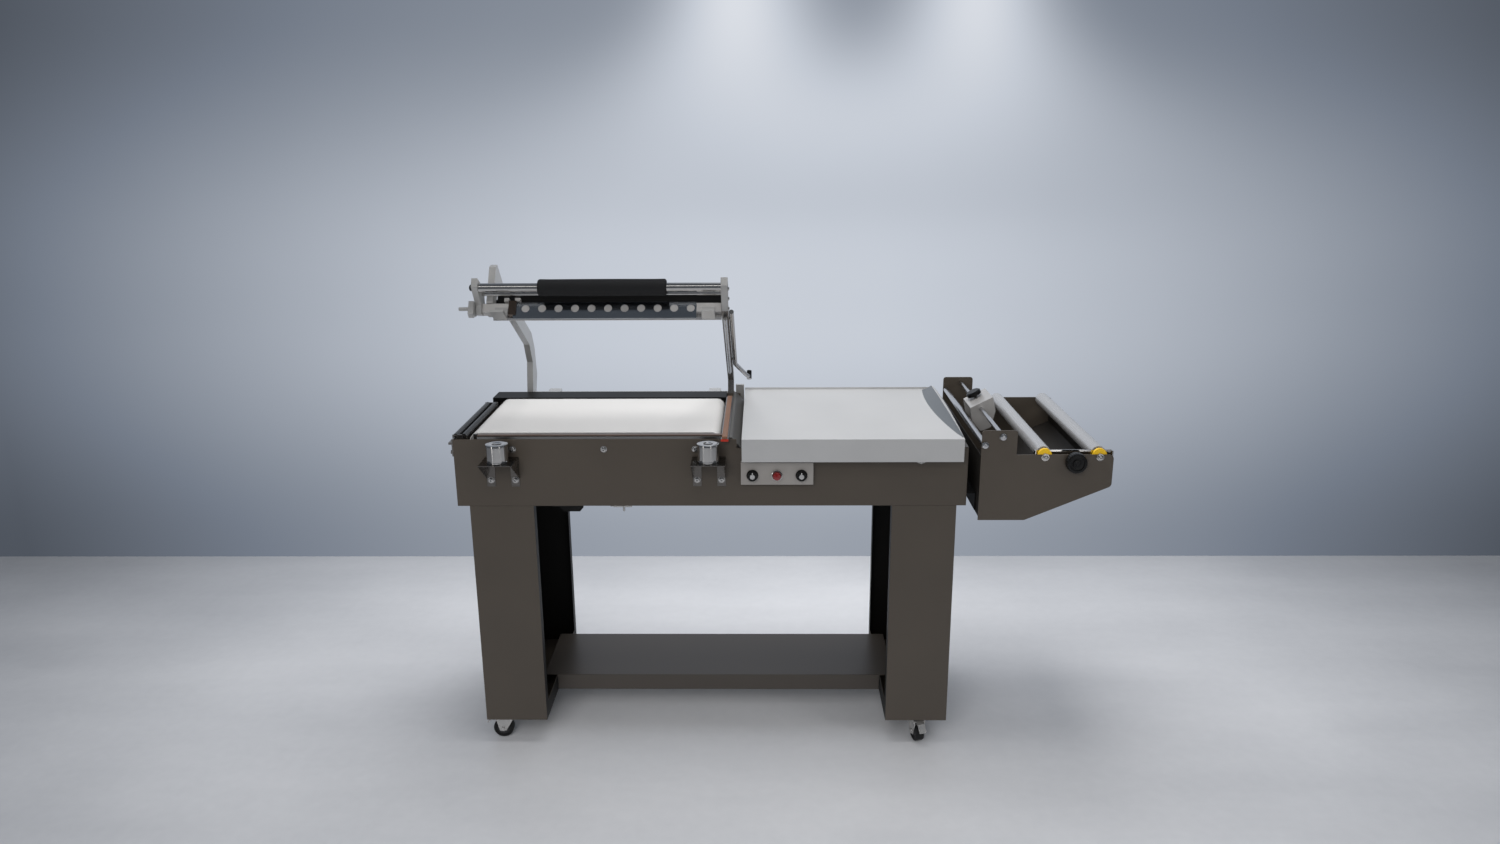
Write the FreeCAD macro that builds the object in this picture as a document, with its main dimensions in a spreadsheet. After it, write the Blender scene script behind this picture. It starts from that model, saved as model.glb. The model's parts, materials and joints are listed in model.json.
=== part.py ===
"""L-bar sealer: a free-standing film sealing machine, modelled as a parametric FreeCAD document.

The row frame has +X along the machine towards the film unwind, +Y from the operator to the
back and +Z up. The floor is z = 0 and the origin is the middle of the footprint. All lengths
are millimetres. The sealing arm is modelled shut, about its hinge axis, and then swung open.
"""
import FreeCAD, Part
import math
import os
import re

import Sketcher
from FreeCAD import Placement, Rotation, Vector

SIZES = {
    # Where the table's front left corner stands in the row frame.
    "left_x": -851,
    "front_y": -255,
    # Sheet metal.
    "sheet": 2,
    "tray_sheet": 1.5,
    "gap": 0.3,
    "shaft_play": 0.05,
    # Table body, a folded box open at the top.
    "body_length": 1346,
    "body_depth": 500,
    "body_height": 184,
    "body_return": 25,
    "low_top": 25,
    "step_gap": 30,
    # Stand.
    "caster_height": 73,
    "leg_height": 638,
    "leg_width": 170,
    "leg_depth": 486,
    "leg_inset": 32,
    "leg_inset_right": 25,
    "leg_return": 28,
    "rail_lip": 44,
    "shelf_front": 170,
    "shelf_depth": 262,
    "shelf_lip": 46,
    "shelf_tab": 40,
    # Casters.
    "wheel_radius": 28,
    "wheel_width": 24,
    "caster_inset_left": 56,
    "caster_inset_right": 82,
    "caster_inset_y": 42,
    "caster_trail": 20,
    "caster_plate": 56,
    "plate_thick": 3,
    "fork_thick": 2.5,
    "wheel_pin": 4,
    "kingpin": 5,
    "pedal_pin": 2.5,
    "pedal_width": 20,
    # Conveyor.
    "belt_from_left": 32,
    "belt_length": 666,
    "belt_front": 48,
    "belt_width": 362,
    "belt_rise": 5,
    "belt_thick": 2,
    "drum_radius": 22,
    "drum_shaft": 6,
    "rail_side_gap": 3,
    "rail_height": 50,
    "rail_thick": 3,
    "spacer_radius": 8,
    "spacer_drop": 27,
    "spacer_first": 156,
    "spacer_last": 64,
    "bolt_head": 9,
    "motor_radius": 32,
    "motor_height": 85,
    "gearbox_size": 70,
    # Exit rollers at the left end.
    "exit_radius": 8,
    "exit_shaft": 3,
    "exit_pitch": 22,
    "exit_drop": 5,
    "exit_bracket": 3,
    # Seal pads.
    "seal_rise": 10,
    "pad_setback": 12,
    "pad_width": 14,
    "pad_thick": 3,
    "holder_width": 20,
    "holder_height": 16,
    "holder_from_left": 64,
    "side_pad_gap": 14,
    "side_pad_front": 25,
    "side_pad_back": 425,
    "cap_length": 13,
    "cap_height": 4,
    # Hold-down magnets.
    "magnet_left": 127,
    "magnet_from_side": 42,
    "magnet_reach": 45,
    "magnet_radius": 23,
    "magnet_flange": 29,
    "magnet_height": 50,
    "magnet_top_drop": -2.5,
    "shelf_half": 44,
    "shelf_reach": 80,
    "strap_offset": 32,
    "strap_width": 23,
    "strap_length": 81,
    "strap_bolt_rise": 18,
    # Control panel.
    "panel_inset": 11,
    "panel_width": 189,
    "panel_height": 60,
    "panel_bottom": 64,
    "panel_depth": 16,
    "dial_from_edge": 30,
    "dial_spacing": 128,
    "dial_height": 26,
    "dial_radius": 14,
    "dial_length": 16,
    "dial_shaft": 3,
    "lens_radius": 11,
    "bezel_radius": 16,
    "button_travel": 3,
    # Product tray.
    "tray_inset": 14,
    "tray_end_gap": 19,
    "tray_overhang": 40,
    "tray_depth": 545,
    "tray_rise": 10,
    "apron_height": 61,
    "tray_lip": 6,
    "plow_height": 18,
    "plow_width": 46,
    "plow_reach": 16,
    # Film unwind.
    "unwind_gap": 27,
    "unwind_front": 27,
    "unwind_span": 607,
    "plate_wall": 3,
    "unwind_length": 341,
    "tab_length": 91,
    "tab_height": 65,
    "plate_high": 859,
    "plate_bottom": 680,
    "plate_foot": 121,
    "plate_nose": 86,
    "nose_radius": 12,
    "roller_one": 165,
    "roller_pitch": 141,
    "roller_radius": 20,
    "roller_drop": 3,
    "roller_shaft": 6,
    "bearing_radius": 18,
    "bearing_thick": 9,
    "strip_gap": 12,
    "strip_thick": 3,
    "strip_height": 32,
    "knob_across": 242,
    "knob_drop": 18,
    "knob_radius": 27,
    "knob_length": 24,
    "bar_across": 9,
    "bar_rise": 26,
    "bar_radius": 8,
    "rod_across": 54,
    "rod_rise": 48,
    "rod_radius": 6,
    "perforator_at": 252,
    "perforator_length": 108,
    "perforator_tilt": 27,
    "cheek_thick": 5,
    "pin_wheel_radius": 22,
    "pin_wheel_shaft": 4,
    "clamp_radius": 21,
    # Sealing arm, measured shut.
    "arm_open": 33.3,
    "hinge_behind": 35,
    "hinge_below": 10,
    "hinge_radius": 8,
    "hinge_block": 36,
    "hinge_left": 151,
    "hinge_from_side": 67,
    "blade_gap": 0.5,
    "blade_height": 17,
    "blade_width": 10,
    "beam_depth": 24,
    "beam_forward": 22,
    "beam_height": 25,
    "beam_lift": 14,
    "beam_left": 76,
    "shroud_left": 158,
    "shroud_from_side": 74,
    "shroud_height": 46,
    "shroud_hole": 10.5,
    "shroud_first": 32,
    "shroud_last": 15,
    "handle_forward": 69,
    "handle_rise": 62,
    "handle_radius": 12,
    "grip_radius": 22,
    "grip_from_left": 230,
    "grip_length": 333,
    "arch_left": 86,
    "arch_thick": 18,
    "arch_top": 156,
    "arch_peak": 20,
    "arch_depth": 44,
    "arch_foot": 58,
    "side_beam_width": 18,
    "keeper_size": 34,
    "keeper_thick": 6,
    "hook_radius": 6.5,
    "hook_out": 40,
    "hook_tall": 26,
    "rail_tall": 22,
    "rail_deep": 10,
    "post_width": 25,
    "post_rise": 26,
}

# Places worked out from the sizes above, by name.
PLACES = {
    "right_x": "left_x + body_length",
    "back_y": "front_y + body_depth",
    "leg_top": "caster_height + leg_height",
    "deck_z": "leg_top + body_height",
    "low_z": "deck_z - low_top",
    "belt_end_x": "left_x + belt_from_left + belt_length",
    "side_x": "belt_end_x + side_pad_gap",
    "step_x": "side_x + step_gap",
    "left_leg_x": "left_x + leg_inset",
    "right_leg_x": "right_x - leg_inset_right - leg_width",
    "shelf_z": "caster_height + sheet + rail_lip",
    "belt_z": "deck_z + belt_rise",
    "belt_y": "front_y + belt_front",
    "belt_radius": "drum_radius + gap + belt_thick",
    "drum_z": "belt_z - belt_radius",
    "drum_left_x": "left_x + belt_from_left + belt_radius",
    "drum_right_x": "belt_end_x - belt_radius",
    "rail_front_y": "belt_y - rail_side_gap - rail_thick",
    "rail_back_y": "belt_y + belt_width + rail_side_gap",
    "spacer_z": "deck_z - spacer_drop",
    "spacer_pitch": "(belt_from_left + belt_length - spacer_last - spacer_first) / 2",
    "exit_z": "deck_z - exit_drop",
    "seal_z": "deck_z + seal_rise",
    "holder_z": "seal_z - pad_thick",
    "holder_y": "front_y + sheet",
    "side_left_x": "side_x - holder_width / 2",
    "magnet_y": "front_y - magnet_reach",
    "magnet_top": "deck_z - magnet_top_drop",
    "magnet_foot": "magnet_top - magnet_height",
    "panel_x": "step_x + panel_inset",
    "panel_z": "leg_top + panel_bottom",
    "dial_z": "panel_z + dial_height",
    "dial_x": "panel_x + dial_from_edge",
    "tray_x": "step_x + tray_inset",
    "tray_length": "right_x - tray_end_gap - tray_x",
    "tray_y": "front_y - tray_overhang",
    "tray_z": "deck_z + tray_rise",
    "deck_sheet_z": "low_z + sheet",
    "unwind_x": "right_x + unwind_gap",
    "unwind_y": "front_y - unwind_front",
    "unwind_back_y": "unwind_y + unwind_span",
    "roller_x": "unwind_x + roller_one",
    "roller_z": "plate_high - roller_drop",
    "strip_y": "unwind_y + plate_wall + strip_gap",
    "knob_x": "unwind_x + knob_across",
    "knob_z": "plate_high - knob_drop",
    "bar_x": "unwind_x + bar_across",
    "bar_z": "plate_high + bar_rise",
    "rod_x": "unwind_x + rod_across",
    "rod_z": "plate_high + rod_rise",
    "perforator_y": "front_y + perforator_at",
    "hinge_y": "back_y + hinge_behind",
    "hinge_z": "deck_z - hinge_below",
    # On the shut arm, from its hinge axis.
    "seal_line": "front_y + pad_setback - hinge_y",
    "blade_low": "seal_z + blade_gap - hinge_z",
    "beam_low": "blade_low + beam_lift",
    "beam_front": "seal_line - beam_forward",
    "beam_left_x": "left_x + beam_left",
    "beam_right_x": "side_x - side_beam_width / 2",
    "arch_x": "left_x + arch_left",
    "handle_y": "seal_line - handle_forward",
    "handle_z": "blade_low + handle_rise",
    "shroud_x": "left_x + shroud_left",
    "shroud_length": "side_x - shroud_from_side - shroud_x",
    "shroud_pitch": "(shroud_length - shroud_first - shroud_last) / 10",
    "keeper_low": "magnet_top + blade_gap - hinge_z",
    "keeper_y": "magnet_y - hinge_y",
}

PLANES = {"XY": "XY_Plane", "XZ": "XZ_Plane", "YZ": "YZ_Plane"}
TURNS = {
    "X": Rotation(Vector(0, 1, 0), 90),
    "Y": Rotation(Vector(1, 0, 0), -90),
    "Z": Rotation(),
}

doc = FreeCAD.newDocument("l_bar_sealer")
nodes = []


def make_sheet():
    """Put every driving size in the sheet, with its name as the alias."""
    sheet = doc.addObject("Spreadsheet::Sheet", "Sizes")
    for row, (name, value) in enumerate(SIZES.items(), start=1):
        sheet.set(f"A{row}", name)
        sheet.set(f"B{row}", str(value))
        sheet.setAlias(f"B{row}", name)
    doc.recompute()


def ex(text):
    """Write out a formula in the sheet's own names."""
    def named(match):
        word = match.group(0)
        if word in PLACES:
            return f"({ex(PLACES[word])})"
        return f"Sizes.{word}" if word in SIZES else word
    return re.sub(r"\b[a-z_]+\b", named, str(text))


def place(obj, x="0", y="0", z="0", turn=None):
    """Bind an object's position, and give it a fixed turn."""
    obj.Placement = Placement(Vector(), turn or Rotation())
    for axis, text in zip("xyz", (x, y, z)):
        obj.setExpression(f".Placement.Base.{axis}", ex(text))
    return obj


def on_arm(obj):
    """Hang a piece, drawn about the hinge axis with the arm shut, on the opened arm."""
    obj.Placement = Placement(Vector(), Rotation(Vector(-1, 0, 0), 10))
    obj.setExpression(".Placement.Base.y", ex("hinge_y"))
    obj.setExpression(".Placement.Base.z", ex("hinge_z"))
    obj.setExpression(".Placement.Rotation.Angle", ex("arm_open"))
    return obj


def node(obj, label):
    """Name a finished piece and keep it for writing."""
    obj.Label = label
    nodes.append(obj)
    return obj


def box(x, y, z, wide, deep, tall):
    """A block from its low corner and its three sizes."""
    obj = doc.addObject("Part::Box", "block")
    for prop, text in (("Length", wide), ("Width", deep), ("Height", tall)):
        obj.setExpression(prop, ex(text))
    return place(obj, x, y, z)


def rod(axis, radius, length, x, y, z):
    """A round bar along X, Y or Z from the middle of its first end."""
    obj = doc.addObject("Part::Cylinder", "bar")
    obj.setExpression("Radius", ex(radius))
    obj.setExpression("Height", ex(length))
    return place(obj, x, y, z, TURNS[axis])


def cut(base, *tools):
    """One piece less others."""
    for tool in tools:
        obj = doc.addObject("Part::Cut", "cut")
        obj.Base, obj.Tool = base, tool
        base = obj
    return base


def fuse(*shapes):
    """Pieces joined into one."""
    obj = doc.addObject("Part::MultiFuse", "joined")
    obj.Shapes = list(shapes)
    obj.Refine = True
    return obj


def group(*shapes):
    """Separate solids that share one node."""
    obj = doc.addObject("Part::Compound", "group")
    obj.Links = list(shapes)
    return obj


def sketch(body, plane, start="0"):
    """A sketch on one of the body's own planes, moved along X, Y or Z to start."""
    obj = body.newObject("Sketcher::SketchObject", "profile")
    role = PLANES[plane]
    obj.AttachmentSupport = (next(o for o in body.Origin.OriginFeatures if o.Role == role), [""])
    obj.MapMode = "FlatFace"
    sign = "-" if plane == "XZ" else ""
    obj.setExpression(".AttachmentOffset.Base.z", f"{sign}({ex(start)})")
    return obj


def bind(obj, kind, item, point, text):
    """Fix one coordinate or radius of a sketch item by a formula."""
    args = (kind, item) if point is None else (kind, item, point)
    number = obj.addConstraint(Sketcher.Constraint(*args, 5.0))
    obj.setExpression(f"Constraints[{number}]", ex(text))


def polygon(obj, points):
    """Add a closed outline with each corner bound to its two formulas."""
    first, count = obj.GeometryCount, len(points)
    ring = [Vector(30 * math.cos(2 * math.pi * i / count), 30 * math.sin(2 * math.pi * i / count))
            for i in range(count)]
    for i in range(count):
        obj.addGeometry(Part.LineSegment(ring[i], ring[(i + 1) % count]), False)
    for i in range(count):
        follower = first + (i + 1) % count
        obj.addConstraint(Sketcher.Constraint("Coincident", first + i, 2, follower, 1))
    for i, (across, up) in enumerate(points):
        bind(obj, "DistanceX", first + i, 1, across)
        bind(obj, "DistanceY", first + i, 1, up)


def circle(obj, across, up, radius):
    """Add a circle with a bound middle and radius."""
    item = obj.addGeometry(Part.Circle(Vector(1, 1), Vector(0, 0, 1), 5), False)
    bind(obj, "DistanceX", item, 3, across)
    bind(obj, "DistanceY", item, 3, up)
    bind(obj, "Radius", item, None, radius)


def extrude(obj, profile, plane, length, kind="PartDesign::Pad"):
    """Pad or pocket a sketch towards +X, +Y or +Z."""
    feature = obj.newObject(kind, "step")
    feature.Profile = profile
    feature.Reversed = (plane == "XZ") != kind.endswith("Pocket")
    feature.setExpression("Length", ex(length))
    obj.Tip = feature
    profile.Visibility = False
    return feature


def add(body, plane, points, start, length, holes=()):
    """Pad an outline, with round holes, onto a body."""
    profile = sketch(body, plane, start)
    if points:
        polygon(profile, points)
    for hole in holes:
        circle(profile, *hole)
    extrude(body, profile, plane, length)
    return profile


def remove(body, plane, points, start, length, holes=()):
    """Cut an outline or round holes out of a body and see that something went."""
    doc.recompute()
    before = body.Shape.Volume
    profile = sketch(body, plane, start)
    if points:
        polygon(profile, points)
    for hole in holes:
        circle(profile, *hole)
    extrude(body, profile, plane, length, "PartDesign::Pocket")
    doc.recompute()
    if body.Shape.Volume >= before:
        raise RuntimeError(f"a pocket in {body.Name} cut nothing")


def plate(plane, points, start, length, holes=()):
    """A new body padded from one outline."""
    body = doc.addObject("PartDesign::Body", "body")
    add(body, plane, points, start, length, holes)
    return body


def round_corners(body, radius, spots=None, kind="PartDesign::Fillet"):
    """Round the first pad's long edges, all of them or those at the numbered corners."""
    doc.recompute()
    tip = body.Tip
    profile = tip.Profile[0]
    turn = profile.Placement
    corners = [turn.multVec(g.StartPoint) for g in profile.Geometry
               if isinstance(g, Part.LineSegment)]
    chosen = corners if spots is None else [corners[i] for i in spots]
    normal = turn.Rotation.multVec(Vector(0, 0, 1))
    names = []
    for number, edge in enumerate(tip.Shape.Edges, start=1):
        if len(edge.Vertexes) != 2:
            continue
        start, end = (v.Point for v in edge.Vertexes)
        if (end - start).cross(normal).Length > 0.001:
            continue
        if any((start - c).cross(normal).Length < 0.01 for c in chosen):
            names.append(f"Edge{number}")
    feature = body.newObject(kind, "rounding")
    feature.Base = (tip, names)
    feature.setExpression("Radius" if kind.endswith("Fillet") else "Size", ex(radius))
    body.Tip = feature
    return body


def turned(axis, outline, x="0", y="0", z="0"):
    """A body turned about X, Y or Z from an outline of (radius, distance along the axis)."""
    body = doc.addObject("PartDesign::Body", "turned")
    profile = sketch(body, "XZ")
    polygon(profile, outline)
    feature = body.newObject("PartDesign::Revolution", "turn")
    feature.Profile = profile
    feature.ReferenceAxis = (profile, ["V_Axis"])
    feature.Angle = 360
    body.Tip = feature
    profile.Visibility = False
    return place(body, x, y, z, TURNS[axis])


def rectangle(low_u, low_v, high_u, high_v):
    """The four corners of an upright rectangle."""
    return [(low_u, low_v), (high_u, low_v), (high_u, high_v), (low_u, high_v)]


def dome_bolt(x, y, z):
    """A round-headed bolt on a front face, its head towards the operator."""
    outline = [("0", "0"), ("bolt_head", "0"), ("bolt_head", "-2.5"),
               ("bolt_head * 0.75", "-5"), ("bolt_head * 0.35", "-6"), ("0", "-6")]
    return turned("Y", outline, x, y, z)


# --- Stand -------------------------------------------------------------------------------


def make_leg(label, x, inner, pin_x):
    """A leg tower of folded sheet, open on its inner side, with its caster plates.

    inner is +1 where the open side faces +X, and pin_x is the x of both caster kingpins.
    """
    def at(distance):
        return f"{x} + {distance}" if inner > 0 else f"{x} + leg_width - ({distance})"
    front, back = "front_y", "front_y + leg_depth"
    section = [
        (at("0"), front), (at("leg_width"), front), (at("leg_width"), f"{front} + leg_return"),
        (at("leg_width - sheet"), f"{front} + leg_return"),
        (at("leg_width - sheet"), f"{front} + sheet"), (at("sheet"), f"{front} + sheet"),
        (at("sheet"), f"{back} - sheet"), (at("leg_width - sheet"), f"{back} - sheet"),
        (at("leg_width - sheet"), f"{back} - leg_return"),
        (at("leg_width"), f"{back} - leg_return"), (at("leg_width"), back), (at("0"), back),
    ]
    leg = plate("XY", section, "caster_height", "leg_height")
    floor = rectangle(at("0"), front, at("leg_width"), back)
    add(leg, "XY", floor, "caster_height", "sheet")
    add(leg, "XY", floor, "leg_top - sheet", "sheet")
    lip = rectangle(at("leg_width - sheet"), f"{front} + sheet", at("leg_width"), f"{back} - sheet")
    add(leg, "XY", lip, "caster_height", "sheet + rail_lip")
    half = "caster_plate / 2"
    for y in caster_rows():
        square = rectangle(f"{pin_x} - {half}", f"{y} - {half}", f"{pin_x} + {half}", f"{y} + {half}")
        add(leg, "XY", square, "caster_height - plate_thick", "plate_thick")
    remove(leg, "XY", (), "caster_height - plate_thick - 1", "plate_thick + sheet + 2",
           [(pin_x, y, "kingpin + shaft_play") for y in caster_rows()])
    return node(leg, label)


def make_shelf():
    """The storage shelf, lipped front and back, its ends resting on the legs' bottom rails."""
    low_x = "left_leg_x + leg_width"
    high_x = "right_leg_x"
    front, back = "front_y + shelf_front", "front_y + shelf_front + shelf_depth"
    top = rectangle(f"{low_x} - shelf_tab", front, f"{high_x} + shelf_tab", back)
    shelf = plate("XY", top, "shelf_z", "sheet")
    low_x, high_x = f"{low_x} + gap", f"{high_x} - gap"
    for y in (front, f"{back} - sheet"):
        add(shelf, "XY", rectangle(low_x, y, high_x, f"{y} + sheet"), "shelf_z - shelf_lip",
            "shelf_lip")
    return node(shelf, "lower_shelf")


def caster_rows():
    """The y of the front and the rear casters."""
    return ["front_y + caster_inset_y", "front_y + leg_depth - caster_inset_y"]


def make_caster(name, x, y, turn, braked):
    """A swivel caster, its wheel trailing towards +X before it is turned about the kingpin."""
    crown_z = "caster_height - plate_thick - gap - 9"
    half = "wheel_width / 2 + 1.5"
    pedal_x, pedal_z = "caster_trail + 12", "wheel_radius + 34"
    crown = rod("Z", "wheel_width / 2 + 6", "9", "0", "0", crown_z)
    pin = rod("Z", "kingpin", "plate_thick + gap + 6", "0", "0", f"{crown_z} + 4")
    cheeks = []
    for sign in (-1, 1):
        points = [("-15", f"{crown_z} + 6"), (f"{pedal_x} + 5", f"{crown_z} + 6"),
                  (f"{pedal_x} + 6", f"{pedal_z} - 5"), ("caster_trail + 9", "wheel_radius - 6"),
                  ("caster_trail - 9", "wheel_radius - 6")]
        holes = [(pedal_x, pedal_z, "pedal_pin + shaft_play")] if braked else []
        low_y = f"{sign} * ({half} + fork_thick / 2) - fork_thick / 2"
        cheeks.append(plate("XZ", points, low_y, "fork_thick", holes))
    bar = rod("Y", "wheel_pin", f"2 * ({half}) + fork_thick", "caster_trail",
              f"-({half}) - fork_thick / 2", "wheel_radius")
    turned_z = Rotation(Vector(0, 0, 1), turn)
    node(place(fuse(crown, pin, *cheeks, bar), x, y, "0", turned_z), f"{name}_caster_fork")
    across, along = math.cos(math.radians(turn)), math.sin(math.radians(turn))
    hub_x, hub_y = f"{x} + caster_trail * {across:.6f}", f"{y} + caster_trail * {along:.6f}"
    wheel = place(make_wheel(), hub_x, hub_y, "wheel_radius", turned_z * TURNS["Y"])
    node(wheel, f"{name}_caster_wheel")
    if braked:
        lever = [(pedal_x, f"{pedal_z} + 4"), (f"{pedal_x} + 18", f"{pedal_z} + 1"),
                 (f"{pedal_x} + 34", f"{pedal_z} - 16"), (f"{pedal_x} + 32", f"{pedal_z} - 19"),
                 (f"{pedal_x} + 16", f"{pedal_z} - 4"), (pedal_x, f"{pedal_z} - 4")]
        tread = plate("XZ", lever, "-pedal_width / 2", "pedal_width")
        barrel = rod("Y", "4", "pedal_width", pedal_x, "-pedal_width / 2", pedal_z)
        pivot = rod("Y", "pedal_pin", f"2 * ({half} + fork_thick + 1)", pedal_x,
                    f"-({half} + fork_thick + 1)", pedal_z)
        node(place(fuse(tread, barrel, pivot), x, y, "0", turned_z), f"{name}_brake_pedal")


def make_wheel():
    """A caster wheel with a dished web and a rounded tread, bored for its pin."""
    radius, width = "wheel_radius", "wheel_width"
    bore = "wheel_pin + shaft_play"
    half = [(bore, 0), (f"{radius} * 0.45", 0), (f"{radius} * 0.5", 3), (f"{radius} * 0.72", 3),
            (f"{radius} * 0.78", 0), (f"{radius} - 3", 0), (radius, 4)]
    outline = [(r, f"-{width} / 2 + {dish}") for r, dish in half]
    outline += [(r, f"{width} / 2 - {dish}") for r, dish in half[::-1]]
    return turned("Y", outline)


def make_underside():
    """The chamfered cable bracket and the slotted stop bracket under the table."""
    low, top = "leg_top - 51", "leg_top"
    x = "left_x + 252"
    box_side = plate("XZ", [(x, top), (x, f"{low} + 12"), (f"{x} + 10", low), (f"{x} + 55", low),
                            (f"{x} + 65", f"{low} + 12"), (f"{x} + 65", top)], "front_y + 96", "sheet")
    ceiling = rectangle(x, "front_y", f"{x} + 65", "front_y + 98")
    add(box_side, "XY", ceiling, f"{top} - sheet", "sheet")
    stop = plate("XZ", [("left_x + 406", top), ("left_x + 406", f"{top} - 22"),
                        ("left_x + 457", f"{top} - 22"), ("left_x + 457", top)],
                 "front_y + 50", "sheet", [("left_x + 422", f"{top} - 12", "4")])
    add(stop, "XY", rectangle("left_x + 406", "front_y", "left_x + 457", "front_y + 52"),
        f"{top} - sheet", "sheet")
    screw = turned("Z", [("0", "-26"), ("3", "-22"), ("3", "0"), ("0", "0")], "left_x + 438",
                   "front_y + 30", f"{top} - sheet")
    node(group(box_side, stop, screw), "underside_brackets")


# --- Table body --------------------------------------------------------------------------


def make_shell():
    """The table body: front, back and ends of folded sheet, with returns along the bottom."""
    outline = [("left_x", "leg_top"), ("right_x", "leg_top"), ("right_x", "low_z"),
               ("step_x", "low_z"), ("step_x", "deck_z"), ("left_x", "deck_z")]
    shell = plate("XZ", outline, "front_y", "sheet")
    add(shell, "XZ", outline, "back_y - sheet", "sheet")
    for x in ("left_x", "right_x - sheet"):
        add(shell, "YZ", rectangle("front_y", "leg_top", "back_y", "low_z"), x, "sheet")
    ring = [("left_x", "front_y"), ("right_x", "front_y"), ("right_x", "back_y"), ("left_x", "back_y")]
    add(shell, "XY", ring, "leg_top", "sheet")
    inner = rectangle("left_x + body_return", "front_y + body_return",
                      "right_x - body_return", "back_y - body_return")
    remove(shell, "XY", inner, "leg_top", "sheet")
    return node(shell, "table_shell")


def make_deck():
    """The cover right of the seal, stepped down under the product tray."""
    top, low = "holder_z - 3", "low_z"
    start = "side_left_x + holder_width"
    points = [(start, top), (f"{start} + 8", top), ("step_x + 12", f"{low} + sheet"),
              ("right_x", f"{low} + sheet"), ("right_x", low), ("step_x + 11", low),
              (f"{start} + 7", f"{top} - sheet"), (start, f"{top} - sheet")]
    return node(plate("XZ", points, "front_y + sheet", "body_depth - 2 * sheet"), "deck_plate")


def make_rear_rail():
    """The black channel along the back of the conveyor."""
    low_y, high_y = "rail_back_y + rail_thick + 6", "back_y - sheet"
    top = "deck_z + 6"
    points = [(low_y, "belt_z - 14"), (f"{low_y} + sheet", "belt_z - 14"),
              (f"{low_y} + sheet", f"{top} - sheet"), (f"{high_y} - sheet", f"{top} - sheet"),
              (f"{high_y} - sheet", "low_z + 8"), (high_y, "low_z + 8"), (high_y, top), (low_y, top)]
    rail = plate("YZ", points, "left_x + sheet", "side_left_x - left_x - sheet - gap")
    return node(rail, "rear_rail")


def make_seal_holders():
    """The two metal channels that carry the seal pads, meeting in an L."""
    front = plate("YZ", rectangle("holder_y", "holder_z - holder_height",
                                  "holder_y + holder_width", "holder_z"),
                  "left_x + holder_from_left", "side_left_x - left_x - holder_from_left")
    across = rectangle("side_left_x", "deck_z", "side_left_x + holder_width", "holder_z")
    side = plate("XZ", across, "front_y - side_pad_front", "side_pad_front + side_pad_back")
    web = rectangle("side_left_x", "deck_z - holder_height", "side_left_x + holder_width", "deck_z")
    add(side, "XZ", web, "front_y + sheet", "side_pad_back - sheet")
    return node(group(front, side), "seal_holders")


def make_seal_pads():
    """The soft seal pads along the front and the side, and the end cap of the side pad."""
    low_y = "front_y + pad_setback - pad_width / 2"
    front = plate("YZ", rectangle(low_y, "holder_z", f"{low_y} + pad_width", "seal_z"),
                  "left_x + holder_from_left", "side_x - pad_width / 2 - left_x - holder_from_left")
    low_x = "side_x - pad_width / 2"
    start = "front_y - side_pad_front + cap_length"
    side = plate("XZ", rectangle(low_x, "holder_z", f"{low_x} + pad_width", "seal_z"), start,
                 "side_pad_front + side_pad_back - cap_length")
    cap = plate("XZ", rectangle(low_x, "holder_z", f"{low_x} + pad_width", "seal_z + cap_height"),
                "front_y - side_pad_front + 1", "cap_length - 1")
    return node(group(front, side, cap), "seal_pads")


def make_bolts():
    """The round-headed bolts on the front face."""
    heads = [dome_bolt(f"left_x + spacer_first + {i} * spacer_pitch", "front_y", "spacer_z")
             for i in range(3)]
    for x in magnet_spots():
        for sign in (-1, 1):
            heads.append(dome_bolt(f"{x} + {sign} * strap_offset", "front_y - sheet",
                                   "magnet_foot - strap_length + strap_bolt_rise"))
    return node(group(*heads), "front_bolts")


def magnet_spots():
    """The x of each hold-down magnet."""
    return ["left_x + magnet_left", "side_x - magnet_from_side"]


def make_magnets():
    """The hold-down magnets: flanged round pots standing on their brackets."""
    pots, shelves = [], []
    for x in magnet_spots():
        outline = [("0", "0"), ("magnet_radius - 1", "0"), ("magnet_radius", "1"),
                   ("magnet_radius", "magnet_height - 4"), ("magnet_flange", "magnet_height - 3"),
                   ("magnet_flange", "magnet_height - 1"), ("magnet_flange - 1", "magnet_height"),
                   ("0", "magnet_height")]
        pots.append(turned("Z", outline, x, "magnet_y", "magnet_foot"))
        half, edge = "shelf_half", "front_y"
        top = [(f"{x} - {half}", f"{edge} - shelf_reach"), (f"{x} + {half}", f"{edge} - shelf_reach"),
               (f"{x} + {half}", edge), (f"{x} - {half}", edge)]
        shelf = plate("XY", top, "magnet_foot - sheet", "sheet")
        for sign in (-1, 1):
            side = f"{x} + {sign} * (strap_offset + strap_width / 2 - sheet / 2) - sheet / 2"
            gusset = [(f"{edge} - shelf_reach", "magnet_foot - sheet"), (edge, "magnet_foot - sheet"),
                      (edge, "magnet_foot - sheet - 55"), (f"{edge} - 6", "magnet_foot - sheet - 55")]
            add(shelf, "YZ", gusset, side, "sheet")
            low = f"{x} + {sign} * strap_offset - strap_width / 2"
            strap = rectangle(low, "magnet_foot - strap_length", f"{low} + strap_width", "magnet_foot")
            add(shelf, "XZ", strap, f"{edge} - sheet", "sheet")
        shelves.append(shelf)
    node(group(*pots), "holddown_magnets")
    node(group(*shelves), "magnet_brackets")


# --- Conveyor ----------------------------------------------------------------------------


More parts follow.
